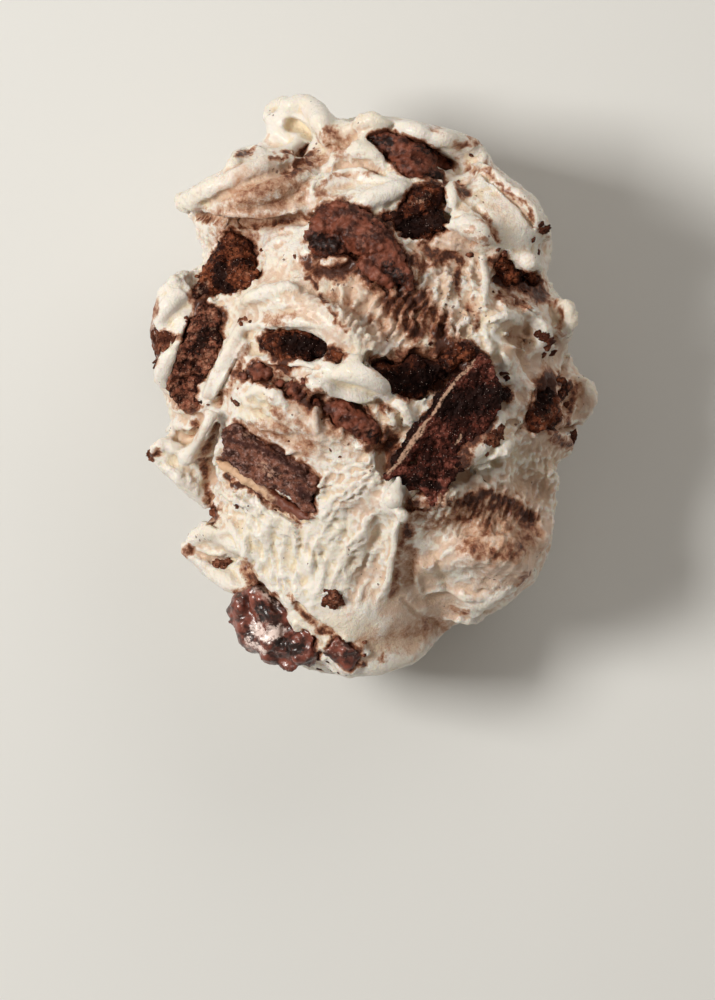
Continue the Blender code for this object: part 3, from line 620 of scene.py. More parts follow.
# %% Read and write the points of a mesh
def read_points(obj):
    """Places in millimetres and outward directions of an object's points."""
    count = len(obj.data.vertices)
    places = np.empty(count * 3)
    normals = np.empty(count * 3, dtype=np.float32)
    obj.data.vertices.foreach_get("co", places)
    obj.data.vertex_normals.foreach_get("vector", normals)
    return places.reshape(-1, 3) / MM, normals.reshape(-1, 3).astype(float)


def write_points(obj, places):
    obj.data.vertices.foreach_set("co", (places * MM).ravel())
    obj.data.update()


places, normals = read_points(heap)
print("the heap's points reach", round(float(places[:, 2].max()), 1), "mm high")


# %% Noise and soft steps
def noise_at(places, size, shift=0.0):
    """Smooth noise, about -1 to 1, with lumps of this size in millimetres. A shift gives another noise."""
    return np.array([noise.noise(Vector(place)) for place in places / size + shift])


def crags_at(places, size):
    """Sharp-crested noise, about 0 to 1, for torn cream."""
    return np.array([
        noise.ridged_multi_fractal(Vector(place), 0.9, 2.1, 3, 0.85, 1.6) for place in places / size
    ]) / 2


def soft_step(values, low, high):
    """0 below low, 1 above high, and smooth between."""
    t = np.clip((values - low) / (high - low), 0, 1)
    return t * t * (3 - 2 * t)


print("half way up a soft step:", soft_step(0.5, 0, 1))


# %% Distances in the photograph
def in_mm(px, py):
    """The x and y that a pixel shows at the widest level, in millimetres."""
    x, y = over(px, py)
    return np.array((x, y)) / MM


def seen_at(places):
    """Where each place appears on the widest level, from the camera, in millimetres."""
    eye = np.array(EYE) / MM
    share = (eye[2] - WIDEST_LEVEL / MM) / (eye[2] - places[:, 2:])
    return (eye + (places - eye) * share)[:, :2]


def line_distance(places, stops):
    """How far each place appears from a line through pixels, in millimetres."""
    flat = seen_at(places)
    nearest = np.full(len(flat), 1e9)
    spots = [in_mm(px, py) for px, py in stops]
    for start, end in zip(spots, spots[1:]):
        along = end - start
        share = np.clip(((flat - start) @ along) / (along @ along), 0, 1)
        gap = flat - (start + share[:, None] * along)
        nearest = np.minimum(nearest, np.hypot(gap[:, 0], gap[:, 1]))
    return nearest


half_width = line_distance(places, [(371, 100), (371, 680)]).max()
print("the heap reaches", round(float(half_width), 1), "mm to a side of its long middle line")

# %% Comb the ridges
# Each comb: the pixel at its middle, its reach across and down in pixels, the way its ridges run in degrees
# from the photograph's right, the spacing of the ridges and their height in millimetres, and how much of it
# is short feathers instead of long rows.
COMBS = {
    "fan_left": (258, 550, 40, 66, -74, 1.5, 1.15, 0.75),
    "fan_middle": (298, 560, 36, 64, 96, 1.5, 1.1, 0.8),
    "fan_right": (352, 558, 50, 76, 66, 1.5, 0.85, 0.8),
    "fan_top": (350, 484, 50, 36, 26, 1.3, 0.75, 0.5),
    "ripple": (392, 300, 84, 60, 62, 1.8, 1.7, 0.25),
    "ripple_right": (446, 306, 42, 46, 72, 1.9, 1.4, 0.4),
    "low_band": (476, 514, 76, 36, 70, 1.05, 0.9, 0.35),
    "low_right": (488, 560, 74, 44, 60, 1.2, 0.3, 0.8),
    "middle": (352, 428, 60, 26, 35, 1.5, 0.35, 0.6),
    "right_edge": (538, 486, 30, 60, 80, 1.3, 0.8, 0.55),
}
FEATHER_LENGTH = 3.2  # how long a feather is, in ridge spacings
COMB_WARP = 1.0  # how far noise bends a comb's rows, in ridges
COMB_WARP_SIZE = 6.0
COMB_BREAKS = ((0.4, 2.6, 9.1), (0.16, 0.9, 4.4))  # how far ridges break out of line, the size, and a shift
COMB_RISE, COMB_FALL = 0.7, 0.3  # the shares of a ridge that its slow and its steep side take
COMB_ROUNDING = 0.8
FEATHER_SHARPNESS = 2.2
COMB_FADE = (0.45, 1.0)  # where a comb fades out, as shares of its reach
COMB_LEAST = 0.01
COMB_PATCHES = 0.7  # how much taller and lower than the mean its patches are
COMB_PATCH_SIZE = 3.4  # how far apart a comb's tall and low patches lie, in millimetres
COMB_LEVEL = 0.55  # the share of a ridge's height that stands at the old skin
UPPER_SIDE = (14.0, 20.0)  # heights between which work on the shown side fades in, in millimetres


def upper_side(places):
    """1 on the shown side, 0 below it."""
    return soft_step(places[:, 2], *UPPER_SIDE)


def comb_wave(places, way, spacing, feathered):
    """A ragged row of sharp ridges or feathers across a direction: 1 on a crest, 0 in a valley."""
    angle = math.radians(way)
    across = places[:, 0] * -math.sin(angle) + places[:, 1] * math.cos(angle)
    along = places[:, 0] * math.cos(angle) + places[:, 1] * math.sin(angle)
    warp = COMB_WARP * noise_at(places, COMB_WARP_SIZE, 3.7)
    ragged = sum(amount * noise_at(places, size, shift) for amount, size, shift in COMB_BREAKS)
    phase = (across / spacing + warp + ragged) % 1
    rows = np.where(phase < COMB_RISE, phase / COMB_RISE, (1 - phase) / COMB_FALL) ** COMB_ROUNDING
    stretched = np.stack(
        [across / spacing + ragged, along / (FEATHER_LENGTH * spacing), 0.1 * places[:, 2]], axis=1
    )
    feathers = np.clip(1 - FEATHER_SHARPNESS * np.abs(noise_at(stretched, 1.0, 0.6)), 0, 1)
    return rows + feathered * (feathers - rows)


def combs_at(places):
    """For each place: how far it is pushed out, how combed it is, and how near it is to a crest."""
    depth = np.zeros(len(places))
    combed = np.zeros(len(places))
    crests = np.ones(len(places))
    for px, py, reach_x, reach_y, way, spacing, height, feathered in COMBS.values():
        reach = np.array((reach_x, reach_y)) * PIXEL / MM
        away = np.hypot(*((seen_at(places) - in_mm(px, py)) / reach).T)
        share = (1 - soft_step(away, *COMB_FADE)) * upper_side(places)
        held = share > COMB_LEAST
        crest = np.ones(len(places))
        crest[held] = comb_wave(places[held], way, spacing, feathered)
        tall = np.ones(len(places))
        tall[held] += COMB_PATCHES * noise_at(places[held], COMB_PATCH_SIZE, 6.6)
        depth += share * height * tall * (crest - COMB_LEVEL)
        crests = np.where(share > combed, 1 + share * (crest - 1), crests)
        combed = np.maximum(combed, share)
    return depth, combed, crests


comb_depth, combed, _ = combs_at(places)
print(len(COMBS), "combs over", int((combed > 0.5).sum()), "points")

# %% Where the cream is torn
# Zones: the pixel at the middle, the reach in pixels, and how torn the cream is there. A zone below 0 is
# smoother than the rest.
TORN_ZONES = {
    "ripple_peaks": (456, 300, 52, 0.9),
    "ripple": (390, 300, 70, 0.45),
    "fan_top": (352, 486, 55, 0.35),
    "right_low": (524, 470, 60, 0.5),
    "middle": (400, 420, 34, 0.4),
    "left_break": (236, 500, 36, 0.6),
    "left_top": (205, 262, 44, 0.5),
    "under_strip": (250, 494, 34, 0.6),
    "slab_side": (490, 440, 34, -0.3),
    "crumb_bed": (420, 222, 44, 0.3),
    "leaf": (240, 178, 60, -0.3),
    "knob": (300, 120, 44, -0.6),
    "top_edge": (420, 130, 66, -0.5),
    "face": (505, 225, 44, -0.35),
    "tongue": (382, 198, 32, -0.4),
    "swoop": (330, 325, 44, -0.4),
    "white_tongue": (356, 380, 34, -0.5),
    "left_lobe": (172, 320, 44, -0.4),
    "pocket": (440, 585, 44, -0.4),
    "underside": (380, 640, 60, -0.6),
    "low_flap": (215, 560, 44, -0.4),
    "cave": (520, 340, 26, -0.5),
}
TORN_EVERYWHERE = 0.6
TORN_LIMITS = (0.04, 1.3)
TORN_FADE = (0.4, 1.1)  # where a zone fades out, as shares of its reach
TEARS = ((4.2, 0.9), (1.9, 0.7))  # the size and the depth of each layer of tears, in millimetres
PIT_DEPTH = 0.42
PIT_SIZE = 0.8
print(len(TORN_ZONES), "zones that are more or less torn")

# %% Where the cream is creased, and where it stays whole
# Creases: how deep and how wide in millimetres, then the pixels that they pass.
CREASES = {
    "under_leaf": (1.8, 0.9, [(196, 217), (222, 223), (262, 225), (306, 219), (328, 214)]),
    "leaf_upper": (0.5, 0.7, [(204, 205), (236, 189), (262, 178), (290, 168)]),
    "knob_hollow": (2.6, 1.2, [(291, 124), (302, 129), (306, 139), (300, 150)]),
    "drop_side": (1.2, 0.6, [(180, 352), (175, 364), (176, 378), (170, 390)]),
    "behind_knob": (1.2, 0.8, [(330, 148), (342, 144), (352, 136)]),
    "crown_fold": (0.8, 0.5, [(318, 176), (336, 166), (360, 163), (384, 172)]),
    "stub_shadow": (1.2, 0.8, [(436, 190), (440, 202), (446, 216)]),
    "bulge_edge": (0.9, 0.6, [(476, 208), (492, 220), (498, 240)]),
    "rim_line": (0.6, 0.4, [(482, 174), (502, 190), (520, 208), (534, 228)]),
    "under_ball": (1.2, 0.8, [(500, 268), (516, 274), (534, 282)]),
    "collar_line": (0.8, 0.6, [(206, 308), (196, 326), (188, 344)]),
    "under_strip": (1.0, 0.7, [(236, 362), (226, 384), (216, 404), (208, 418)]),
    "flap_gap": (2.2, 1.0, [(214, 430), (208, 446), (205, 464), (210, 482)]),
    "drip_left": (1.2, 0.7, [(200, 418), (190, 438)]),
    "flap_notch": (1.2, 0.7, [(176, 436), (190, 442)]),
    "break_line": (1.0, 0.6, [(210, 498), (206, 514), (216, 526)]),
    "under_low_slab": (0.9, 0.7, [(216, 470), (244, 489), (276, 510), (306, 524)]),
    "under_hollow": (0.8, 0.6, [(262, 366), (290, 370), (316, 364)]),
    "tongue_under": (1.2, 0.8, [(316, 398), (340, 404), (366, 410), (388, 400)]),
    "deep_gap": (2.0, 1.6, [(372, 360), (398, 378), (424, 390), (452, 376)]),
    "slab_gap": (2.2, 1.3, [(414, 428), (398, 438), (384, 452), (386, 470)]),
    "finger_gap": (1.0, 0.6, [(392, 398), (398, 414), (402, 430)]),
    "cave": (0.9, 1.5, [(506, 334), (516, 337), (530, 344)]),
    "cave_dark": (1.2, 0.5, [(518, 300), (528, 306), (540, 314)]),
    "cave_low": (1.0, 0.7, [(520, 352), (528, 366), (536, 380)]),
    "lobe_gap": (1.2, 0.6, [(552, 304), (558, 322), (558, 344)]),
    "ear_gap": (1.4, 0.7, [(566, 366), (566, 388), (568, 412)]),
    "ear_under": (1.2, 0.7, [(556, 424), (566, 430), (580, 428)]),
    "block_side": (1.2, 0.7, [(534, 392), (530, 414), (520, 434)]),
    "bed_gap": (1.4, 0.9, [(452, 480), (464, 476), (484, 468), (500, 464)]),
    "bead_side": (0.9, 0.6, [(406, 490), (404, 504), (412, 508)]),
    "ridge_side": (0.8, 0.6, [(402, 524), (399, 550), (396, 580)]),
    "pocket": (0.4, 2.0, [(430, 560), (428, 580), (434, 600)]),
    "pocket_foot": (0.35, 0.6, [(404, 600), (416, 614), (438, 624)]),
    "lip_line": (0.4, 0.4, [(466, 592), (476, 594), (484, 591)]),
    "flap_fold": (0.8, 0.6, [(192, 552), (206, 558), (224, 562), (240, 560)]),
    "under_flap": (1.2, 0.8, [(240, 566), (252, 584), (268, 600)]),
    "beside_corner": (1.2, 0.8, [(296, 606), (312, 624), (334, 636)]),
}

# Drips and tongues that stay whole: their width in millimetres, then the pixels that they pass.
CLEAN = {
    "bead": (2.5, [(399, 480), (394, 496), (393, 503)]),
    "bead_tail": (1.2, [(401, 512), (403, 519)]),
    "thin_ridge": (0.9, [(397, 524), (394, 548), (389, 575), (385, 590)]),
    "white_drop": (2.0, [(174, 350), (167, 362), (164, 376), (166, 386)]),
    "pale_strip": (1.6, [(240, 326), (231, 348), (218, 374), (205, 398)]),
    "white_tongue": (2.4, [(334, 374), (352, 372), (372, 378), (388, 392)]),
    "finger": (1.4, [(398, 404), (406, 412), (413, 423)]),
    "stub": (1.0, [(450, 188), (454, 200), (450, 210)]),
    "right_rib": (1.0, [(482, 258), (485, 272), (486, 298)]),
    "ball_cap": (1.8, [(520, 260), (532, 262)]),
    "long_drip": (1.4, [(212, 414), (202, 436), (187, 458)]),
    "streak_rib": (1.0, [(317, 410), (315, 424), (318, 436)]),
    "small_ball": (1.2, [(474, 478), (480, 478)]),
}
CLEAN_FADE = (0.5, 1.0)


def edge_share(away, width, fade):
    """1 along a line, 0 beyond its width, and smooth where fade says, in shares of the width."""
    return 1 - soft_step(away, fade[0] * width, fade[1] * width)


def whole_at(places):
    """How surely each place belongs to a drip or a tongue that stays whole, 0 to 1."""
    whole = np.zeros(len(places))
    for width, stops in CLEAN.values():
        whole = np.maximum(whole, edge_share(line_distance(places, stops), width, CLEAN_FADE))
    return whole * upper_side(places)


print(len(CREASES), "creases and", len(CLEAN), "drips that stay whole")

# %% Tear and crease the skin
WHOLE_CALM = 0.8  # how much of the tearing a whole drip is spared
CREASE_WANDER = 0.25
CREASE_FADE = (0.1, 1.1)


def zone_share(seen, px, py, reach, fade):
    """1 in the middle of a round zone of the photograph, 0 outside, for places seen from the camera."""
    away = np.hypot(*(seen - in_mm(px, py)).T) / (reach * PIXEL / MM)
    return 1 - soft_step(away, *fade)


whole = whole_at(places)
torn = np.full(len(places), TORN_EVERYWHERE)
for px, py, reach, amount in TORN_ZONES.values():
    torn += amount * zone_share(seen_at(places), px, py, reach, TORN_FADE) * upper_side(places)
torn = np.clip(torn, *TORN_LIMITS) * (1 - WHOLE_CALM * whole)

crease_depth = np.zeros(len(places))
for depth, width, stops in CREASES.values():
    away = line_distance(places, stops) + CREASE_WANDER * noise_at(places, 1.6, 5.3)
    crease_depth += depth * edge_share(away, width, CREASE_FADE) * upper_side(places)

tears = sum(depth * (crags_at(places, size) - 0.5) for size, depth in TEARS)
shift = comb_depth * (1 - whole) + torn * tears - crease_depth * (1 - whole)
write_points(heap, places + normals * shift[:, None])

places, normals = read_points(heap)
pits = PIT_DEPTH * torn * noise_at(places, PIT_SIZE, 1.3)
places += normals * pits[:, None]
places[:, 2] = np.maximum(places[:, 2], 0)
write_points(heap, places)
print("the points moved", round(float(np.abs(shift).max()), 2), "mm at most")

# %% Thin the mesh to what an STL file may hold
TRIANGLE_LIMIT = 196000


def triangles_of(obj):
    """How many triangles a mesh comes to."""
    return sum(len(face.vertices) - 2 for face in obj.data.polygons)


before = triangles_of(heap)
apply(heap, "DECIMATE", ratio=TRIANGLE_LIMIT / before)
print(before, "triangles thinned to", triangles_of(heap))

# %% [markdown]
# ## Stains and painted shade
#
# Wafer colours the cream that it touches, and the spoon draws those stains out in streaks. They are drawn
# here as lines over the photograph's pixels, each with a strength and a width, and as a halo round every
# wafer. Some of the lines are painted shade instead of stain: shadow lines under the leaf and under the
# wafer's thin edge, in gaps and in the cave. On combed cream the colour sits in the valleys. The result is
# one number a point, which the material reads.

# %% The streaks, from the top of the heap down
# Painted shade, not stain: leaf_crease and under_leaf (the shadow under the leaf), under_strip (the shadow
# under the wafer's thin edge), cave_yellow (the shade in the cave), and every line named shadow or shade.
STREAKS = {
    "leaf_under": (0.32, 1.6, [(200, 212), (236, 219), (280, 218), (318, 208)]),
    "leaf_crease": (0.7, 0.6, [(200, 219), (236, 225), (282, 224), (316, 217)]),
    "under_leaf": (0.55, 1.8, [(222, 234), (248, 240)]),
    "leaf_top": (0.75, 0.7, [(272, 158), (292, 154), (312, 151)]),
    "leaf_end": (0.5, 1.5, [(286, 172), (300, 166), (314, 162)]),
    "leaf_tint": (0.3, 2.2, [(240, 196), (270, 192), (300, 184)]),
    "leaf_dark_end": (0.8, 1.1, [(294, 168), (306, 162), (314, 164)]),
    "shoulder": (0.8, 0.6, [(236, 156), (252, 150)]),
    "knob_side": (0.5, 0.9, [(322, 132), (336, 134)]),
    "behind_knob": (0.45, 1.4, [(326, 140), (344, 142), (338, 150)]),
    "crown_shadow": (0.9, 1.1, [(428, 186), (446, 188), (462, 192)]),
    "under_strip": (0.85, 0.6, [(224, 474), (250, 491), (278, 509), (302, 522)]),
    "ridge_edge": (0.5, 0.6, [(402, 524), (400, 546), (396, 566), (392, 588)]),
    "gap_shade": (0.6, 1.0, [(196, 424), (200, 446), (204, 466)]),
    "cave_yellow": (0.3, 1.6, [(508, 336), (528, 342)]),
    "leaf_low_face": (0.28, 2.2, [(228, 208), (256, 206), (290, 200), (306, 190)]),
    "hollow_brow": (0.4, 0.9, [(266, 318), (280, 322), (290, 316)]),
    "middle_tint": (0.34, 2.0, [(258, 424), (286, 434), (312, 446)]),
    "crown_line": (0.5, 0.5, [(318, 186), (342, 174), (376, 174)]),
    "crown_tint": (0.35, 1.2, [(312, 192), (330, 196), (348, 200)]),
    "edge_line": (0.4, 0.6, [(428, 124), (440, 132)]),
    "edge_right": (0.5, 0.8, [(456, 148), (466, 140), (482, 142)]),
    "edge_right_low": (0.45, 0.9, [(456, 164), (474, 168), (492, 172)]),
    "face_rim": (0.6, 0.45, [(480, 168), (500, 182), (520, 200), (536, 222), (546, 236)]),
    "stub_left": (0.5, 1.4, [(436, 196), (440, 206)]),
    "bulge": (0.3, 1.6, [(470, 236), (486, 244)]),
    "bulge_edge": (0.6, 0.7, [(484, 214), (494, 228), (496, 240)]),
    "under_crumbs": (0.8, 0.9, [(424, 246), (436, 254), (452, 258), (464, 266)]),
    "under_crumbs_low": (0.7, 0.9, [(428, 262), (446, 262)]),
    "fold_end": (0.9, 1.6, [(396, 262), (410, 262), (420, 268)]),
    "red_stream": (0.85, 0.7, [(458, 264), (457, 282), (461, 300)]),
    "red_stream_low": (0.6, 0.8, [(470, 300), (476, 316), (478, 330)]),
    "shoulder_crumbs": (0.85, 1.8, [(492, 262), (510, 270), (524, 282), (540, 296)]),
    "shoulder_low": (0.5, 1.2, [(500, 296), (520, 302), (534, 300)]),
    "band_outer": (1.0, 2.4, [(384, 262), (398, 276), (414, 294), (428, 312), (440, 334), (452, 348)]),
    "band_inner": (0.97, 1.9, [(342, 266), (362, 272), (380, 286), (392, 304), (404, 322), (420, 332)]),
    "band_start": (0.95, 1.4, [(306, 262), (320, 272), (342, 276)]),
    "thin_line": (0.95, 0.45, [(308, 276), (322, 300), (336, 318), (346, 330)]),
    "inner_tan": (0.45, 1.0, [(330, 300), (352, 306), (372, 320), (384, 334)]),
    "comb_tint": (0.4, 2.4, [(430, 310), (446, 322)]),
    "deep_shadow": (0.95, 2.2, [(376, 368), (396, 378), (420, 384), (444, 380), (460, 366)]),
    "deep_top": (0.95, 1.3, [(400, 357), (424, 352), (446, 350), (470, 350)]),
    "deep_low": (0.85, 1.4, [(384, 404), (396, 398), (404, 402)]),
    "slab_gap": (0.85, 1.3, [(384, 440), (394, 452), (388, 466)]),
    "slab_top": (0.9, 1.0, [(470, 352), (484, 356)]),
    "smeared": (0.95, 1.9, [(312, 404), (330, 414), (352, 420), (372, 434), (390, 442)]),
    "smeared_low": (0.5, 1.2, [(330, 430), (352, 440), (374, 446)]),
    "smeared_left": (0.35, 1.2, [(270, 408), (292, 420), (312, 436)]),
    "nugget_line": (0.7, 0.9, [(232, 372), (252, 378), (276, 384), (300, 392), (312, 396)]),
    "under_left_slab": (0.55, 1.6, [(176, 398), (190, 404), (206, 402)]),
    "left_rim": (0.6, 1.2, [(152, 300), (148, 318), (150, 334)]),
    "left_crumbs": (0.97, 1.5, [(152, 338), (162, 340), (174, 340)]),
    "left_crumbs_low": (0.9, 0.8, [(155, 352), (157, 364)]),
    "strip_shadow": (0.6, 0.7, [(247, 350), (239, 368), (229, 386), (219, 402)]),
    "drip_shade": (0.8, 0.9, [(214, 424), (208, 440), (202, 456), (206, 474)]),
    "flap_tip": (0.8, 0.8, [(148, 456), (156, 452)]),
    "flap_crease": (0.6, 0.8, [(208, 468), (206, 486), (210, 500), (214, 520)]),
    "break_edge": (0.7, 1.2, [(212, 508), (212, 520)]),
    "low_flap_tip": (0.7, 0.7, [(184, 552), (192, 548)]),
    "over_corner": (0.8, 1.0, [(246, 566), (256, 584), (270, 596)]),
    "beside_corner": (0.7, 0.7, [(286, 592), (300, 608), (311, 622), (330, 634), (346, 654)]),
    "fan_tint": (0.2, 1.6, [(340, 512), (352, 504)]),
    "ridge_tint": (0.5, 0.9, [(400, 520), (398, 545), (396, 570), (392, 592)]),
    "ridge_side": (0.85, 1.2, [(409, 524), (408, 534)]),
    "ridge_side_low": (0.34, 1.3, [(408, 540), (412, 558), (408, 580)]),
    "low_band_start": (0.97, 0.9, [(404, 502), (414, 508)]),
    "low_band_thin": (0.9, 0.5, [(414, 508), (436, 506), (456, 502)]),
    "low_band": (0.97, 1.0, [(456, 503), (474, 498), (492, 497), (510, 500), (526, 510), (534, 522)]),
    "low_band_teeth": (0.62, 1.6, [(468, 508), (490, 508), (512, 512), (526, 522)]),
    "low_band_under": (0.5, 1.8, [(408, 522), (432, 519), (456, 519), (480, 520), (504, 524)]),
    "low_band_last": (0.5, 2.2, [(470, 548), (492, 552), (514, 550), (530, 536)]),
    "low_right_spot": (0.7, 0.7, [(520, 582), (528, 576)]),
    "low_spot": (0.5, 0.6, [(454, 608), (466, 612)]),
    "right_lobe": (0.5, 0.9, [(556, 304), (562, 318), (560, 336)]),
    "ear_edge": (0.6, 0.8, [(574, 384), (572, 404), (566, 424)]),
    "ear_foot": (0.7, 1.0, [(556, 440), (570, 444)]),
    "pit": (0.9, 2.0, [(548, 380), (544, 400), (546, 420)]),
    "foot_line": (0.75, 0.7, [(362, 666), (382, 660)]),
    "foot_tint": (0.3, 2.2, [(400, 640), (424, 626), (440, 624)]),
    "foot_tint_left": (0.2, 3.0, [(352, 640), (390, 636)]),
}
print(len(STREAKS), "streaks")

# %% Broad tints with painted light and shade, and painted yellow shade
# Broad tints: the pixel at the middle, the reach in pixels, and how tan (above 0) or how white (below 0).
# Some are the cream's own pink-tan tints, and many are painted light and shade: white where the heap is
# lit, as on the knob, the tongues, the left lobe and the fan, and tan where it is in shade, as on the swoop,
# the right side and the foot.
TINTS_AND_PAINTED_LIGHT = {
    "knob": (300, 115, 44, -0.7), "top_edge": (420, 132, 60, -0.6), "tongue": (384, 200, 36, -1.0),
    "fold_lump": (338, 262, 16, 0.7), "left_lobe": (180, 315, 50, -1.0),
    "left_flap": (180, 474, 40, -0.6), "swoop": (322, 312, 44, 0.3), "white_tongue": (356, 380, 34, -0.9),
    "white_lump": (262, 400, 30, -0.5), "fan": (290, 552, 80, -0.9), "fan_right": (360, 556, 40, 0.15),
    "slab_side": (488, 440, 34, -0.6), "leaf": (262, 198, 52, 0.7), "ripple": (388, 296, 66, 0.6),
    "under_crumbs": (452, 262, 34, 0.5), "middle": (296, 432, 44, 0.5), "right": (548, 400, 60, 0.6),
    "right_low": (500, 520, 60, 0.9), "right_foot": (500, 556, 60, 0.6), "foot": (420, 620, 50, 0.4),
    "ridge_side": (408, 560, 22, 0.6),
}

# Painted yellow shade, mostly in hollows and on the shaded right side and foot: the pixel at the middle,
# the reach in pixels, and how yellow.
YELLOW_SHADE_ZONES = {
    "cave": (516, 338, 24, 0.45), "right_ledge": (478, 312, 26, 0.25), "right_side": (542, 470, 54, 0.25),
    "right_low": (528, 548, 26, 0.3), "face": (478, 200, 30, 0.2), "knob": (294, 134, 16, 0.3),
    "middle_hollow": (262, 408, 22, 0.25), "pocket": (430, 570, 22, 0.35), "drip": (196, 440, 26, 0.2),
    "fan_left": (258, 552, 40, 0.08), "foot": (400, 632, 60, 0.2), "slab_side": (490, 440, 30, 0.12),
    "swoop_start": (300, 304, 24, 0.2),
}

# %% Keep numbers on a mesh, and find its dips
DIP_ROUNDS = 6


def store(obj, name, values):
    """Keeps one number a point under a name that a material can read."""
    made = obj.data.attributes.new(name, "FLOAT", "POINT")
    made.data.foreach_set("value", values.astype(np.float32))


def dips_of(obj, places, normals):
    """How deep each point lies below the mean of its surroundings, in millimetres."""
    ends = np.empty(len(obj.data.edges) * 2, dtype=np.int32)
    obj.data.edges.foreach_get("vertices", ends)
    first, second = ends.reshape(-1, 2).T
    count = np.bincount(ends, minlength=len(places))[:, None]
    mean = places.copy()
    for _ in range(DIP_ROUNDS):
        total = np.zeros_like(mean)
        np.add.at(total, first, mean[second])
        np.add.at(total, second, mean[first])
        mean = 0.5 * mean + 0.5 * total / count
    return ((mean - places) * normals).sum(axis=1)


places, normals = read_points(heap)
dips = dips_of(heap, places, normals)
print("the deepest dip is", round(float(dips.max()), 2), "mm deep")

# %% Draw the streaks out over the points
WANDER = 0.9  # how far a streak's edges wander, in millimetres
FRINGE = 0.6  # how far its fringe wanders, in millimetres
STREAK_FADE = (0.1, 1.5)

wander = np.stack([noise_at(places, 2.6, shift) for shift in (1.1, 5.2, 8.3)], axis=1)
fringe = np.stack([noise_at(places, 0.8, shift) for shift in (2.4, 6.5, 9.6)], axis=1)
smeared = places + WANDER * wander + FRINGE * fringe
uneven = 1 + 0.5 * noise_at(places, 3.4, 7.7)
stain_and_shade = np.zeros(len(places))
for strength, width, stops in STREAKS.values():
    fade_start, fade_end = STREAK_FADE[0] * width, STREAK_FADE[1] * width * uneven
    away = line_distance(smeared, stops)
    stain_and_shade = np.maximum(stain_and_shade, strength * (1 - soft_step(away, fade_start, fade_end)))
stain_and_shade *= upper_side(places)
print("points in streaks:", int((stain_and_shade > 0.5).sum()))

# %% Add a halo round every wafer
HALO = 0.9  # how far a wafer colours the cream, in millimetres
HALO_STRENGTH = 0.85
HALO_FADE = (0.1, 1.2)
HALO_WANDER, HALO_FRINGE = 0.45, 0.35

near = np.full(len(places), 1e9)
for piece in wafers.values():
    skin = skin_of(piece)
    low = np.array(piece.bound_box).min(axis=0) / MM - 3 * HALO
    high = np.array(piece.bound_box).max(axis=0) / MM + 3 * HALO
    close = np.nonzero(((places > low) & (places < high)).all(axis=1))[0]
    for index in close:
        found = skin.find_nearest(Vector(places[index]) * MM)
        near[index] = min(near[index], found[3] / MM)
ragged_near = near + HALO_WANDER * wander[:, 0] + HALO_FRINGE * fringe[:, 0]
halo = HALO_STRENGTH * edge_share(ragged_near, HALO, HALO_FADE)
print("points in halos:", int((halo > 0.5).sum()))

# %% Add streaks on the unseen sides, and keep the stain with its painted shade
SIDE_STREAK_SIZE = (9.0, 3.0)  # how long and how thick a streak is, in millimetres
SIDE_STREAK_WANDER = 1.8  # how far a streak wanders up and down, in millimetres
SIDE_STREAK_RAMP = (0.10, 0.60)
SIDE_STREAK_LIMITS = (0.15, 0.9)
WHOLE_WHITENESS = 0.85  # how much of the stain a whole drip is spared
STAIN_IN_VALLEYS, STAIN_OFF_CRESTS = 1.15, 0.55

long_way, thin_way = SIDE_STREAK_SIZE
around = np.arctan2(smeared[:, 1], smeared[:, 0]) * np.hypot(smeared[:, 0], smeared[:, 1])
level = smeared[:, 2] + SIDE_STREAK_WANDER * wander[:, 0]
unrolled = np.stack([around / long_way, level / thin_way, places[:, 0] * 0.02], axis=1)
side_strength = np.clip(0.5 + 0.6 * noise_at(places, 6.0, 8.8), *SIDE_STREAK_LIMITS)
side = soft_step(noise_at(unrolled, 1.0, 2.2), *SIDE_STREAK_RAMP) * (1 - upper_side(places)) * side_strength
stain_and_shade = np.maximum.reduce([stain_and_shade, halo, side])
stain_and_shade *= 1 - WHOLE_WHITENESS * whole_at(places)
_, combed, crests = combs_at(places)
stain_and_shade = np.clip(stain_and_shade * (STAIN_IN_VALLEYS - STAIN_OFF_CRESTS * combed * crests), 0, 1)
store(heap, "stain_and_shade", stain_and_shade)
print("stained points:", int((stain_and_shade > 0.5).sum()), "of", len(stain_and_shade))

# %% Work out the tints with their painted light and shade, and the painted yellow shade
TINT_FADE = (0.4, 1.1)
YELLOW_FADE = (0.3, 1.1)
# A dip yellows the cream as painted shade in the hollow.
DIP_YELLOW = 1.6  # how strongly a dip of one millimetre yellows the cream


def with_zones(values, zones, strength, fade):
    """The values of the heap's points with every zone's amount added."""
    for px, py, reach, amount in zones.values():
        share = zone_share(seen_at(smeared), px, py, reach, fade)
        values = values + strength * amount * share * upper_side(places)
    return values


tint_and_painted_light = with_zones(0.5 + 0.08 * noise_at(places, 5.0, 4.1), TINTS_AND_PAINTED_LIGHT, 0.5, TINT_FADE)
painted_yellow_shade = with_zones(np.zeros(len(places)), YELLOW_SHADE_ZONES, 1.0, YELLOW_FADE)
store(heap, "tint_and_painted_light", np.clip(tint_and_painted_light, 0, 1))
store(heap, "dip", np.clip(0.5 + DIP_YELLOW * dips + painted_yellow_shade, 0, 1))
pick(heap)
bpy.ops.object.shade_smooth()
heap.name = "cream_heap"
print(len(TINTS_AND_PAINTED_LIGHT), "tints and", len(YELLOW_SHADE_ZONES), "yellow places on", triangles_of(heap), "triangles")
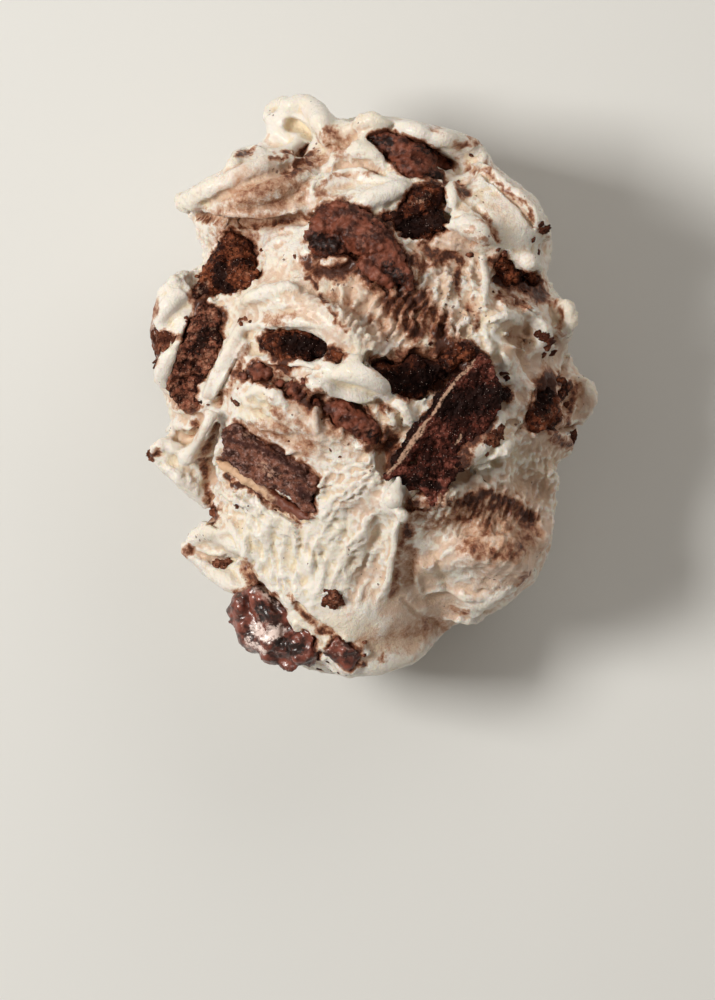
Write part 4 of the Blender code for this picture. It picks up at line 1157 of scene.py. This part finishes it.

# %% [markdown]
# A wafer isn't one colour either: black in its hollows, partly its own colour and partly painted shade,
# and tan along edges, partly rubbed and partly painted highlight where an edge is lit. These marks are
# lines too, kept on each wafer as two numbers a point.

# %% Mark the dark and the pale places of the wafers
# For each: how pale (above 0) or how dark (below 0), how wide in millimetres, then the pixels that it passes.
# Painted shade among the dark marks: the deep wafer, the wafer in the hollow and the crown's lower end.
# Painted highlight among the pale marks: a spot on the big slab, the folded wafer's upper edge and the
# crumbly left wafer's lower edge.
MARKS = {
    "wafer_big_slab": [
        (0.8, 0.30, [(475, 359), (457, 380), (439, 404), (424, 426)]),
        (1.0, 0.5, [(424, 426), (410, 445), (400, 460)]),
        (0.6, 0.35, [(398, 462), (388, 475)]),
        (-1.0, 0.8, [(467, 357), (448, 379), (430, 403), (414, 427), (395, 456), (382, 472)]),
        (0.6, 0.35, [(462, 434), (456, 444)]),
        (-1.0, 2.6, [(446, 406), (468, 402), (494, 396)]),
        (-0.8, 1.0, [(398, 478), (416, 482), (438, 486)]),
    ],
    "wafer_in_hollow": [
        (-1.0, 2.0, [(292, 344), (318, 350)]), (0.25, 0.9, [(270, 358), (290, 362), (306, 362)]),
    ],
    "wafer_crown": [
        (-0.8, 0.9, [(372, 138), (390, 142)]), (-0.6, 0.8, [(414, 148), (436, 152)]),
        (0.25, 1.2, [(402, 160), (424, 168), (440, 168)]), (-0.7, 1.2, [(428, 178), (444, 176)]),
    ],
    "wafer_folded": [
        (-0.9, 1.8, [(316, 242), (334, 246)]), (0.25, 1.2, [(342, 222), (360, 232), (376, 246)]),
        (-0.6, 1.5, [(388, 266), (402, 280)]), (0.35, 0.6, [(304, 246), (312, 254)]),
    ],
    "wafer_crumbly_left": [
        (-1.0, 1.1, [(222, 268), (218, 282), (226, 288)]), (0.3, 1.3, [(196, 296), (206, 284)]),
        (0.25, 1.3, [(240, 276), (256, 268)]), (-0.6, 1.0, [(236, 262), (250, 262)]),
    ],
    "wafer_crumbly_right": [
        (-1.0, 1.8, [(408, 228), (428, 224), (442, 218)]), (0.3, 1.2, [(412, 202), (430, 196)]),
    ],
    "wafer_low_slab": [
        (-0.5, 0.8, [(230, 440), (258, 448), (286, 462), (308, 476)]), (0.35, 1.6, [(262, 466), (276, 474)]),
        (0.4, 0.6, [(246, 434), (276, 444), (304, 462)]), (-0.5, 1.2, [(300, 486), (308, 500)]),
    ],
    "wafer_left_slab": [(-0.6, 1.3, [(204, 330), (196, 352)]), (0.3, 1.1, [(210, 322), (216, 336)])],
    "wafer_deep": [(-0.9, 2.2, [(388, 380), (416, 382), (440, 372)])],
    "wafer_right_pit": [(-0.8, 1.4, [(546, 392), (542, 412)]), (0.3, 1.0, [(540, 424), (550, 414)])],
    "wafer_smeared": [(0.3, 1.0, [(336, 410), (352, 416)]), (-0.6, 1.0, [(370, 434), (384, 442)])],
    "wafer_low_corner": [
        (0.62, 1.4, [(256, 628), (268, 636), (280, 630)]), (0.5, 0.9, [(248, 640), (262, 652)]),
        (-1.0, 1.1, [(282, 642), (292, 650), (300, 648)]), (-0.8, 1.2, [(262, 608), (266, 616)]),
        (0.45, 0.9, [(266, 596), (278, 602)]),
    ],
}
MARK_WANDER = 0.4
MARK_FADE = (0.3, 1.4)

for node, marks in MARKS.items():
    places, _ = read_points(wafers[node])
    bend = np.stack([noise_at(places, 2.2, shift) for shift in (3.1, 7.4, 0.7)], axis=1)
    bent = places + MARK_WANDER * bend
    kept = {"pale": np.zeros(len(places)), "dark": np.zeros(len(places))}
    for amount, width, stops in marks:
        name = "pale" if amount > 0 else "dark"
        share = edge_share(line_distance(bent, stops), width, MARK_FADE)
        kept[name] = np.maximum(kept[name], abs(amount) * share)
    for name, values in kept.items():
        store(wafers[node], name, values)
print("marked", len(MARKS), "wafers")

# %% [markdown]
# ## Crumbs
#
# Broken wafer leaves chips and crumbs on the cream. The larger chips are where the photograph shows them,
# and the fine ones are strewn round each wafer by a seeded draw, so that every run gives the same crumbs.
# A crumb has few faces, because there are hundreds.

# %% The larger chips
# For each: the pixel and the radius in millimetres of its crumbs.
CHIPS = {
    "low_chip": [(331, 598, 1.6), (338, 601, 1.1), (325, 602, 0.7), (334, 592, 0.7)],
    "flap_chip": [(221, 563, 1.2), (228, 562, 1.1), (216, 565, 0.7)],
    "shoulder_chips": [
        (539, 334, 0.7), (545, 337, 0.9), (551, 341, 0.8), (547, 347, 0.6), (552, 353, 0.7), (544, 355, 0.5),
    ],
    "slab_chips": [(500, 432, 1.0), (494, 438, 1.1), (488, 442, 0.7), (502, 438, 0.6)],
    "blob_chip": [(504, 373, 0.7), (507, 378, 0.5)],
    "flap_tip": [(149, 456, 0.9), (153, 459, 0.6)],
    "edge_chips": [(545, 230, 0.9), (541, 224, 0.6), (533, 240, 0.5), (538, 252, 0.5)],
    "ear_chips": [
        (573, 436, 0.9), (577, 441, 0.7), (556, 400, 0.8), (562, 392, 0.8), (560, 412, 0.7), (566, 404, 0.5),
    ],
    "lump_chips": [(236, 403, 0.7), (232, 399, 0.4)],
    "band_chip": [(213, 513, 0.8), (214, 505, 0.5)],
    "ridge_chips": [(240, 320, 0.45), (246, 319, 0.5), (241, 324, 0.35), (250, 322, 0.35)],
    "bulge_chips": [(470, 254, 0.6), (504, 254, 0.6), (498, 250, 0.4)],
    "left_crumbs": [
        (153, 334, 0.8), (158, 333, 0.9), (163, 335, 0.8), (168, 338, 0.9), (174, 340, 0.7), (155, 340, 0.9),
        (161, 341, 1.0), (167, 344, 0.8), (152, 346, 0.8), (158, 347, 0.9), (164, 349, 0.7), (156, 353, 0.6),
        (157, 361, 0.7), (155, 366, 0.5),
    ],
}
print(sum(map(len, CHIPS.values())), "crumbs in", len(CHIPS), "chips")

# %% Strew the crumbs
CRUMBS_A_WAFER = 11
CRUMB_RADIUS = (0.14, 0.42)
CRUMB_SPREAD = 1.4  # how far from a wafer's box crumbs fall, in millimetres
CRUMB_REACH = 3 * MM  # a crumb that falls further than this from the cream is left out
CRUMB_FLATNESS = 0.4
CRUMB_ROUGHNESS = 0.6
FINE_CRUMB = 0.8  # crumbs up to this radius in millimetres have fewer faces

draw = random.Random(7)
cream_skin = skin_of(heap)
bpy.ops.mesh.primitive_ico_sphere_add(subdivisions=3, radius=1)
chip_ball = bpy.context.object
bpy.ops.mesh.primitive_ico_sphere_add(subdivisions=2, radius=1)
crumb_ball = bpy.context.object


def crumb(place, normal, radius):
    """One rough, flat crumb, half sunk in the cream."""
    made = bpy.data.objects.new("crumb", (chip_ball if radius > FINE_CRUMB else crumb_ball).data.copy())
    bpy.context.scene.collection.objects.link(made)
    offset = Vector((draw.random(), draw.random(), draw.random())) * 50
    for point in made.data.vertices:
        lump = noise.noise(point.co * 1.3 + offset) + 0.9 * noise.noise(point.co * 3.0 + offset)
        point.co *= radius * MM * (1 + CRUMB_ROUGHNESS * lump)
    made.data.transform(Matrix.Diagonal((1, 1, CRUMB_FLATNESS, 1)))
    made.data.transform(normal.to_track_quat("Z", "Y").to_matrix().to_4x4())
    made.data.transform(Matrix.Translation(place))
    return made


crumbs = []
for px, py, radius in sum(CHIPS.values(), []):
    place, _ = landing(cream_skin, px, py)
    place, normal = cream_skin.find_nearest(place)[:2]
    crumbs.append(crumb(place, normal, radius))
for node in WAFERS:
    low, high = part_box(node)
    for _ in range(CRUMBS_A_WAFER):
        spread = Vector((draw.uniform(-1, 1), draw.uniform(-1, 1), draw.uniform(-1, 1))) * CRUMB_SPREAD * MM
        share = (draw.random(), draw.random(), draw.random())
        start = Vector(edge + (far - edge) * part for edge, far, part in zip(low, high, share)) + spread
        place, normal, _, away = cream_skin.find_nearest(start)
        if away < CRUMB_REACH:
            crumbs.append(crumb(place, normal, draw.uniform(*CRUMB_RADIUS)))
bpy.data.objects.remove(chip_ball)
bpy.data.objects.remove(crumb_ball)
crumbs = join("wafer_crumbs", crumbs)
bpy.ops.object.shade_smooth()
print("crumbs:", len(crumbs.data.polygons), "faces")

# %% [markdown]
# ## Materials
#
# Frozen cream is white with a warm tint, lets light a little way in, and is slightly wet. Deep places are
# painted yellow, as painted shade for the light that crosses more cream there, and lit and shaded places
# get painted whiter and tanner tints. A wafer stains it tan first and dark brown where it is thick, and the
# same colours paint shadow lines under folds and in gaps. Everything is noise in the piece's own
# coordinates, so nothing slides and nothing needs an image.

# %% Helpers for node trees
class Tree:
    """A material's nodes, added and linked by short calls."""

    def __init__(self, name):
        self.material = bpy.data.materials.new(name)
        self.material.use_nodes = True
        self.nodes = self.material.node_tree.nodes
        self.shader = self.nodes["Principled BSDF"]
        self.coordinates = self.nodes.new("ShaderNodeTexCoord").outputs["Object"]

    def set(self, **values):
        """Sets the shader's own sockets, with _ for a space."""
        for name, value in values.items():
            self.shader.inputs[name.replace("_", " ")].default_value = value

    def put(self, target, value):
        """Links an output to a socket, or sets the socket."""
        if isinstance(value, bpy.types.NodeSocket):
            self.material.node_tree.links.new(value, target)
        else:
            target.default_value = value

    def noise(self, size, detail=3.0, roughness=0.6):
        """Noise with lumps of this size in millimetres."""
        node = self.nodes.new("ShaderNodeTexNoise")
        self.put(node.inputs["Vector"], self.coordinates)
        node.inputs["Scale"].default_value = 1 / (size * MM)
        node.inputs["Detail"].default_value = detail
        node.inputs["Roughness"].default_value = roughness
        return node.outputs["Fac"]

    def cells(self, size):
        """Distance to the nearest of many scattered points, this far apart in millimetres."""
        node = self.nodes.new("ShaderNodeTexVoronoi")
        self.put(node.inputs["Vector"], self.coordinates)
        node.inputs["Scale"].default_value = 1 / (size * MM)
        return node.outputs["Distance"]

    def kept(self, name):
        """A number that the mesh keeps for each point."""
        node = self.nodes.new("ShaderNodeAttribute")
        node.attribute_name = name
        return node.outputs["Fac"]

    def math(self, operation, first, second=0.0):
        node = self.nodes.new("ShaderNodeMath")
        node.operation = operation
        self.put(node.inputs[0], first)
        self.put(node.inputs[1], second)
        return node.outputs[0]

    def ramp(self, value, low, high, start=0.0, end=1.0):
        """Start below low, end above high, and smooth between."""
        node = self.nodes.new("ShaderNodeMapRange")
        node.interpolation_type = "SMOOTHSTEP"
        for name, number in zip(("From Min", "From Max", "To Min", "To Max"), (low, high, start, end)):
            node.inputs[name].default_value = number
        self.put(node.inputs["Value"], value)
        return node.outputs["Result"]

    def mix(self, share, first, second):
        """Colour between two, by a share."""
        node = self.nodes.new("ShaderNodeMix")
        node.data_type = "RGBA"
        self.put(node.inputs["Factor"], share)
        self.put(node.inputs[6], first)
        self.put(node.inputs[7], second)
        return node.outputs[2]

    def bump(self, height, depth, under=None):
        """A normal from a height of 0 to 1, this many millimetres deep."""
        node = self.nodes.new("ShaderNodeBump")
        node.inputs["Strength"].default_value = 1.0
        node.inputs["Distance"].default_value = depth * MM
        self.put(node.inputs["Height"], height)
        if under is not None:
            self.put(node.inputs["Normal"], under)
        return node.outputs["Normal"]

    def marked(self, colour, darkest, palest):
        """A wafer's colour with its dark and its pale places, which are partly painted shade and highlight,
        broken up by noise.
        """
        broken = self.ramp(self.noise(0.8, 6, 0.75), 0.35, 0.65, 0.5, 1.7)
        for name, other in (("dark", darkest), ("pale", palest)):
            share = self.ramp(self.math("MULTIPLY", self.kept(name), broken), 0.3, 0.7, 0.0, 0.95)
            colour = self.mix(share, colour, other)
        return colour

    def finish(self, **outputs):
        """Links outputs to the shader's sockets."""
        for name, value in outputs.items():
            self.put(self.shader.inputs[name.replace("_", " ")], value)
        return self.material


# %% Frozen cream
CREAM_WHITE = (0.89, 0.835, 0.755, 1)
CREAM_YELLOW_AND_SHADE = (0.82, 0.67, 0.44, 1)
CREAM_PINK_AND_SHADE = (0.71, 0.49, 0.36, 1)
STAIN_AND_SHADE_TAN = (0.52, 0.27, 0.155, 1)
STAIN_AND_SHADE_RED = (0.26, 0.090, 0.042, 1)
STAIN_AND_SHADE_BROWN = (0.068, 0.019, 0.009, 1)
SPECK_BROWN = (0.13, 0.05, 0.03, 1)


def cream():
    tree = Tree("frozen_cream")
    tree.set(
        IOR=1.36,
        Subsurface_Weight=0.3,
        Subsurface_Radius=(1.0, 0.62, 0.32),
        Subsurface_Scale=0.6 * MM,
        Coat_Weight=0.22,
        Coat_Roughness=0.2,
    )
    dip = tree.kept("dip")
    stain_and_shade = tree.kept("stain_and_shade")
    colour = tree.mix(tree.ramp(tree.noise(9, 2), 0.45, 0.75, 0.0, 0.35), CREAM_WHITE, CREAM_YELLOW_AND_SHADE)
    # Painted shade: dips and the yellow places turn deep yellow.
    colour = tree.mix(tree.ramp(dip, 0.52, 0.85, 0.0, 0.7), colour, CREAM_YELLOW_AND_SHADE)
    # Painted light and shade: lit places turn whiter, and shaded places and dips pinker tan, besides the
    # cream's own pink tints from noise.
    tint_and_painted_light = tree.kept("tint_and_painted_light")
    tint = tree.math("ADD", tree.noise(5, 7, 0.66), tree.ramp(dip, 0.3, 0.8, -0.12, 0.12))
    tint = tree.math("ADD", tint, tree.ramp(tint_and_painted_light, 0.0, 1.0, -0.22, 0.22))
    colour = tree.mix(tree.ramp(tint, 0.44, 0.68, 0.0, 0.75), colour, CREAM_PINK_AND_SHADE)
    flecks = tree.math("ADD", tree.noise(1.1, 7, 0.7), tree.ramp(tint_and_painted_light, 0.0, 1.0, -0.10, 0.06))
    colour = tree.mix(tree.ramp(flecks, 0.52, 0.66, 0.0, 0.55), colour, CREAM_PINK_AND_SHADE)
    veins = tree.ramp(tree.noise(1.9, 8, 0.72), 0.3, 0.7, -0.34, 0.34)
    veins = tree.math("MULTIPLY", veins, tree.ramp(stain_and_shade, 0.0, 0.35, 0.5, 1.0))
    # Painted shade: the shadow lines kept with the stain take the stain's tan, red and brown.
    broken_stain_and_shade = tree.math("ADD", tree.math("ADD", stain_and_shade, tree.ramp(tint_and_painted_light, 0.5, 1.0, 0.0, 0.16)), veins)
    colour = tree.mix(tree.ramp(broken_stain_and_shade, 0.14, 0.50, 0.0, 0.85), colour, STAIN_AND_SHADE_TAN)
    colour = tree.mix(tree.ramp(broken_stain_and_shade, 0.44, 0.76), colour, STAIN_AND_SHADE_RED)
    colour = tree.mix(tree.ramp(broken_stain_and_shade, 0.68, 0.98, 0.0, 0.95), colour, STAIN_AND_SHADE_BROWN)
    speck_zone = tree.ramp(tree.noise(7, 2), 0.5, 0.72, -0.1, 0.24)
    rough_cells = tree.math("ADD", tree.cells(1.1), tree.ramp(tree.noise(0.45, 3), 0.3, 0.7, -0.16, 0.16))
    specks = tree.ramp(tree.math("SUBTRACT", speck_zone, rough_cells), -0.03, 0.03, 0.0, 0.85)
    colour = tree.mix(specks, colour, SPECK_BROWN)
    grit = tree.bump(tree.noise(0.32, 3, 0.7), 0.2)
    return tree.finish(
        Base_Color=colour,
        Roughness=tree.ramp(tree.noise(2.5, 3), 0.35, 0.7, 0.26, 0.52),
        Normal=tree.bump(tree.noise(0.9, 6, 0.68), 0.32, grit),
    )


heap.data.materials.clear()
heap.data.materials.append(cream())
print("cream is made")

# %% [markdown]
# A dry wafer is nearly black in its pores and red-brown where crumbs catch the light, with bright specks
# that are partly ice crystals and partly painted glints. A frosted one has a grey bloom of ice on its
# crests, and a soaked one is glossy and streaked with melted cream.

# %% Wafer
CRUMB_BLACK_AND_SHADE = (0.010, 0.003, 0.002, 1)
CRUMB_DARK = (0.022, 0.006, 0.004, 1)
CRUMB_BROWN = (0.15, 0.038, 0.016, 1)
CRUMB_RED = (0.33, 0.105, 0.048, 1)
RUBBED_EDGE_AND_HIGHLIGHT = (0.50, 0.31, 0.215, 1)
ICE_CRYSTAL_AND_GLINT = (0.66, 0.50, 0.43, 1)


def crumbly(name, dark, brown, red):
    tree = Tree(name)
    tree.set(Specular_IOR_Level=0.10)
    patches = tree.ramp(tree.noise(5.0, 3), 0.38, 0.62, -0.09, 0.09)
    grains = tree.math("ADD", tree.noise(1.1, 5, 0.7), patches)
    colour = tree.mix(tree.ramp(grains, 0.38, 0.62), dark, brown)
    bright = tree.math("ADD", tree.noise(0.8, 4, 0.7), patches)
    colour = tree.mix(tree.ramp(bright, 0.50, 0.72, 0.0, 0.8), colour, red)
    pores = tree.ramp(tree.cells(0.7), 0.12, 0.5)
    colour = tree.mix(tree.ramp(tree.cells(0.9), 0.5, 0.75, 0.0, 0.7), colour, dark)
    colour = tree.marked(colour, CRUMB_BLACK_AND_SHADE, RUBBED_EDGE_AND_HIGHLIGHT)
    # Bright specks: ice crystals, and painted glints where grains sparkle.
    crystals_and_glints = tree.math("LESS_THAN", tree.cells(0.42), 0.10)
    colour = tree.mix(crystals_and_glints, colour, ICE_CRYSTAL_AND_GLINT)
    return tree.finish(
        Base_Color=colour,
        Roughness=tree.ramp(tree.noise(2.4, 2), 0.4, 0.62, 0.9, 0.45),
        Normal=tree.bump(pores, 0.3, tree.bump(tree.noise(0.4, 4), 0.25)),
    )


# %% Smooth, frosted and soaked wafer, and a wafer's thin edge
SATIN_DARK = (0.05, 0.012, 0.006, 1)
SATIN_BROWN = (0.20, 0.054, 0.028, 1)
SATIN_RED = (0.32, 0.125, 0.08, 1)
SATIN_PALE_AND_SHEEN = (0.42, 0.20, 0.16, 1)
FROSTED_DARK = (0.045, 0.013, 0.008, 1)
FROSTED_BROWN = (0.22, 0.078, 0.046, 1)
FROST = (0.46, 0.29, 0.25, 1)
FROSTED_BLACK = (0.05, 0.015, 0.012, 1)
FROSTED_PALE = (0.55, 0.34, 0.24, 1)
EDGE_TAN = (0.66, 0.42, 0.26, 1)
EDGE_SOAKED = (0.17, 0.045, 0.022, 1)
EDGE_TURNS_DARK = (236, 296)  # the pixel columns between which the thin edge turns from tan to soaked
SOAKED_DARK = (0.035, 0.009, 0.006, 1)
SOAKED_RED = (0.24, 0.062, 0.038, 1)
MELTED_CREAM = (0.70, 0.50, 0.43, 1)
MELTED_WHITE = (0.84, 0.68, 0.62, 1)


def satin():
    tree = Tree("satin_wafer")
    tree.set(Specular_IOR_Level=0.28)
    colour = tree.mix(tree.ramp(tree.noise(2.2, 5), 0.4, 0.62), SATIN_DARK, SATIN_BROWN)
    colour = tree.mix(tree.ramp(tree.noise(1.0, 5), 0.5, 0.7, 0.0, 0.7), colour, SATIN_RED)
    colour = tree.marked(colour, CRUMB_BLACK_AND_SHADE, SATIN_PALE_AND_SHEEN)
    return tree.finish(
        Base_Color=colour,
        Roughness=tree.ramp(tree.noise(1.4, 3), 0.35, 0.65, 0.35, 0.65),
        Normal=tree.bump(tree.noise(0.7, 4), 0.2),
    )


def frosted():
    tree = Tree("frosted_wafer")
    tree.set(Specular_IOR_Level=0.25)
    colour = tree.mix(tree.ramp(tree.noise(1.6, 5, 0.7), 0.4, 0.6), FROSTED_DARK, FROSTED_BROWN)
    bloom = tree.ramp(tree.noise(0.7, 6, 0.75), 0.48, 0.68, 0.0, 0.75)
    colour = tree.mix(bloom, colour, FROST)
    colour = tree.marked(colour, FROSTED_BLACK, FROSTED_PALE)
    return tree.finish(
        Base_Color=colour,
        Roughness=0.75,
        Normal=tree.bump(tree.noise(0.45, 4), 0.3),
    )


def strip():
    tree = Tree("wafer_edge")
    spread = tree.nodes.new("ShaderNodeSeparateXYZ")
    tree.put(spread.inputs["Vector"], tree.coordinates)
    tan_end, soaked_end = (over(px, 0)[0] for px in EDGE_TURNS_DARK)
    along = tree.ramp(spread.outputs["X"], tan_end, soaked_end, -0.22, 0.28)
    soak = tree.math("ADD", tree.noise(1.6, 5), along)
    colour = tree.mix(tree.ramp(soak, 0.4, 0.66), EDGE_TAN, EDGE_SOAKED)
    return tree.finish(
        Base_Color=colour,
        Roughness=0.42,
        Normal=tree.bump(tree.noise(0.6, 4), 0.2),
    )


def soaked():
    tree = Tree("soaked_wafer")
    tree.set(Coat_Weight=0.5, Coat_Roughness=0.16)
    colour = tree.mix(tree.ramp(tree.noise(2.2, 5), 0.38, 0.62), SOAKED_DARK, SOAKED_RED)
    melted = tree.ramp(tree.noise(2.6, 7, 0.75), 0.53, 0.68, 0.0, 0.7)
    colour = tree.mix(melted, colour, MELTED_CREAM)
    colour = tree.marked(colour, CRUMB_BLACK_AND_SHADE, MELTED_WHITE)
    return tree.finish(
        Base_Color=colour,
        Roughness=0.3,
        Normal=tree.bump(tree.noise(0.8, 4), 0.12),
    )


# %% Give each wafer its finish
SLAB_BROWN = (0.135, 0.034, 0.022, 1)
SLAB_RED = (0.31, 0.105, 0.075, 1)
# Painted light: the left slab's lit face gets a lighter copy of the crumbly finish, with red-brown grains.
DUSTY_LIT_BROWN = (0.25, 0.082, 0.048, 1)
DUSTY_LIT_RED = (0.46, 0.22, 0.14, 1)
CHIP_DARK = (0.070, 0.020, 0.011, 1)
CHIP_BROWN = (0.20, 0.065, 0.034, 1)
CHIP_RED = (0.36, 0.15, 0.09, 1)
FINISHES = {
    "crumbly": crumbly("crumbly_wafer", CRUMB_DARK, CRUMB_BROWN, CRUMB_RED),
    "slab": crumbly("slab_wafer", CRUMB_DARK, SLAB_BROWN, SLAB_RED),
    "dusty": crumbly("dusty_lit_wafer", CRUMB_DARK, DUSTY_LIT_BROWN, DUSTY_LIT_RED),
    "chip": crumbly("wafer_chip", CHIP_DARK, CHIP_BROWN, CHIP_RED),
    "satin": satin(),
    "frosted": frosted(),
    "strip": strip(),
    "soaked": soaked(),
}
for node, piece in wafers.items():
    piece.data.materials.clear()
    piece.data.materials.append(FINISHES[KIND_OF.get(node, "crumbly")])
crumbs.data.materials.clear()
crumbs.data.materials.append(FINISHES["chip"])
print("finishes:", ", ".join(FINISHES))

# %% [markdown]
# ## Tie the pieces to the frame
#
# Every new piece stands for its plain solid and rides with it.

# %% Ride and replace
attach(heap, "root")
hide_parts("ice_cream")
for node, piece in wafers.items():
    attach(piece, "root")
    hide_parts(node)
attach(crumbs, "root")
print(len(wafers) + 2, "pieces ride on the root")

# %% [markdown]
# ## Floor, light and camera
#
# The heap lies on a plain pale floor. One soft window of light comes from the upper left, as the shadows
# in the photograph say, with a weak one opposite and a pale surround to fill the shadows. The camera
# looks straight down from far away through a long lens, which is how such food is photographed, so that
# pixels keep their scale.

# %% Floor
FLOOR_SIZE = 3.0
PAPER_GREY = (0.72, 0.72, 0.70, 1)

bpy.ops.mesh.primitive_plane_add(size=FLOOR_SIZE, location=(0, 0, 0))
floor = bpy.context.object
floor.name = "floor"
paper = Tree("pale_paper")
paper.set(Base_Color=PAPER_GREY, Roughness=0.9)
floor.data.materials.append(paper.material)
print("floor is", FLOOR_SIZE, "m wide")

# %% Lights
def window(name, place, size, power, colour):
    """A square of soft light that faces the heap, with its size in metres and its power in watts."""
    bpy.ops.object.light_add(type="AREA", location=place)
    lamp = bpy.context.object
    lamp.name = name
    lamp.data.size = size
    lamp.data.energy = power
    lamp.data.color = colour
    lamp.rotation_mode = "QUATERNION"
    lamp.rotation_quaternion = (HEAP_MIDDLE - Vector(place)).to_track_quat("-Z", "Y")


window("key_light", (-0.54, 0.08, 0.64), 0.24, 6.0, (1.0, 0.98, 0.94))
window("fill_light", (0.30, 0.60, 0.46), 0.6, 1.5, (1.0, 0.96, 0.91))
print("two soft lights")

# %% Pale surround
SURROUND_COLOUR = (1.0, 0.93, 0.84, 1)
SURROUND_STRENGTH = 0.26

surround = bpy.data.worlds.new("pale_surround")
surround.use_nodes = True
background = surround.node_tree.nodes["Background"]
background.inputs["Color"].default_value = SURROUND_COLOUR
background.inputs["Strength"].default_value = SURROUND_STRENGTH
bpy.context.scene.world = surround
bpy.context.scene.view_settings.view_transform = "Standard"
print("the surround gives", SURROUND_STRENGTH, "of full light")

# %% Camera
bpy.ops.object.camera_add(location=EYE, rotation=(0, 0, 0))
camera = bpy.context.object
camera.data.lens = LENS
camera.data.sensor_width = SENSOR
camera.data.clip_end = 10
bpy.context.scene.camera = camera
print("camera", round(DISTANCE, 3), "m above the widest level")
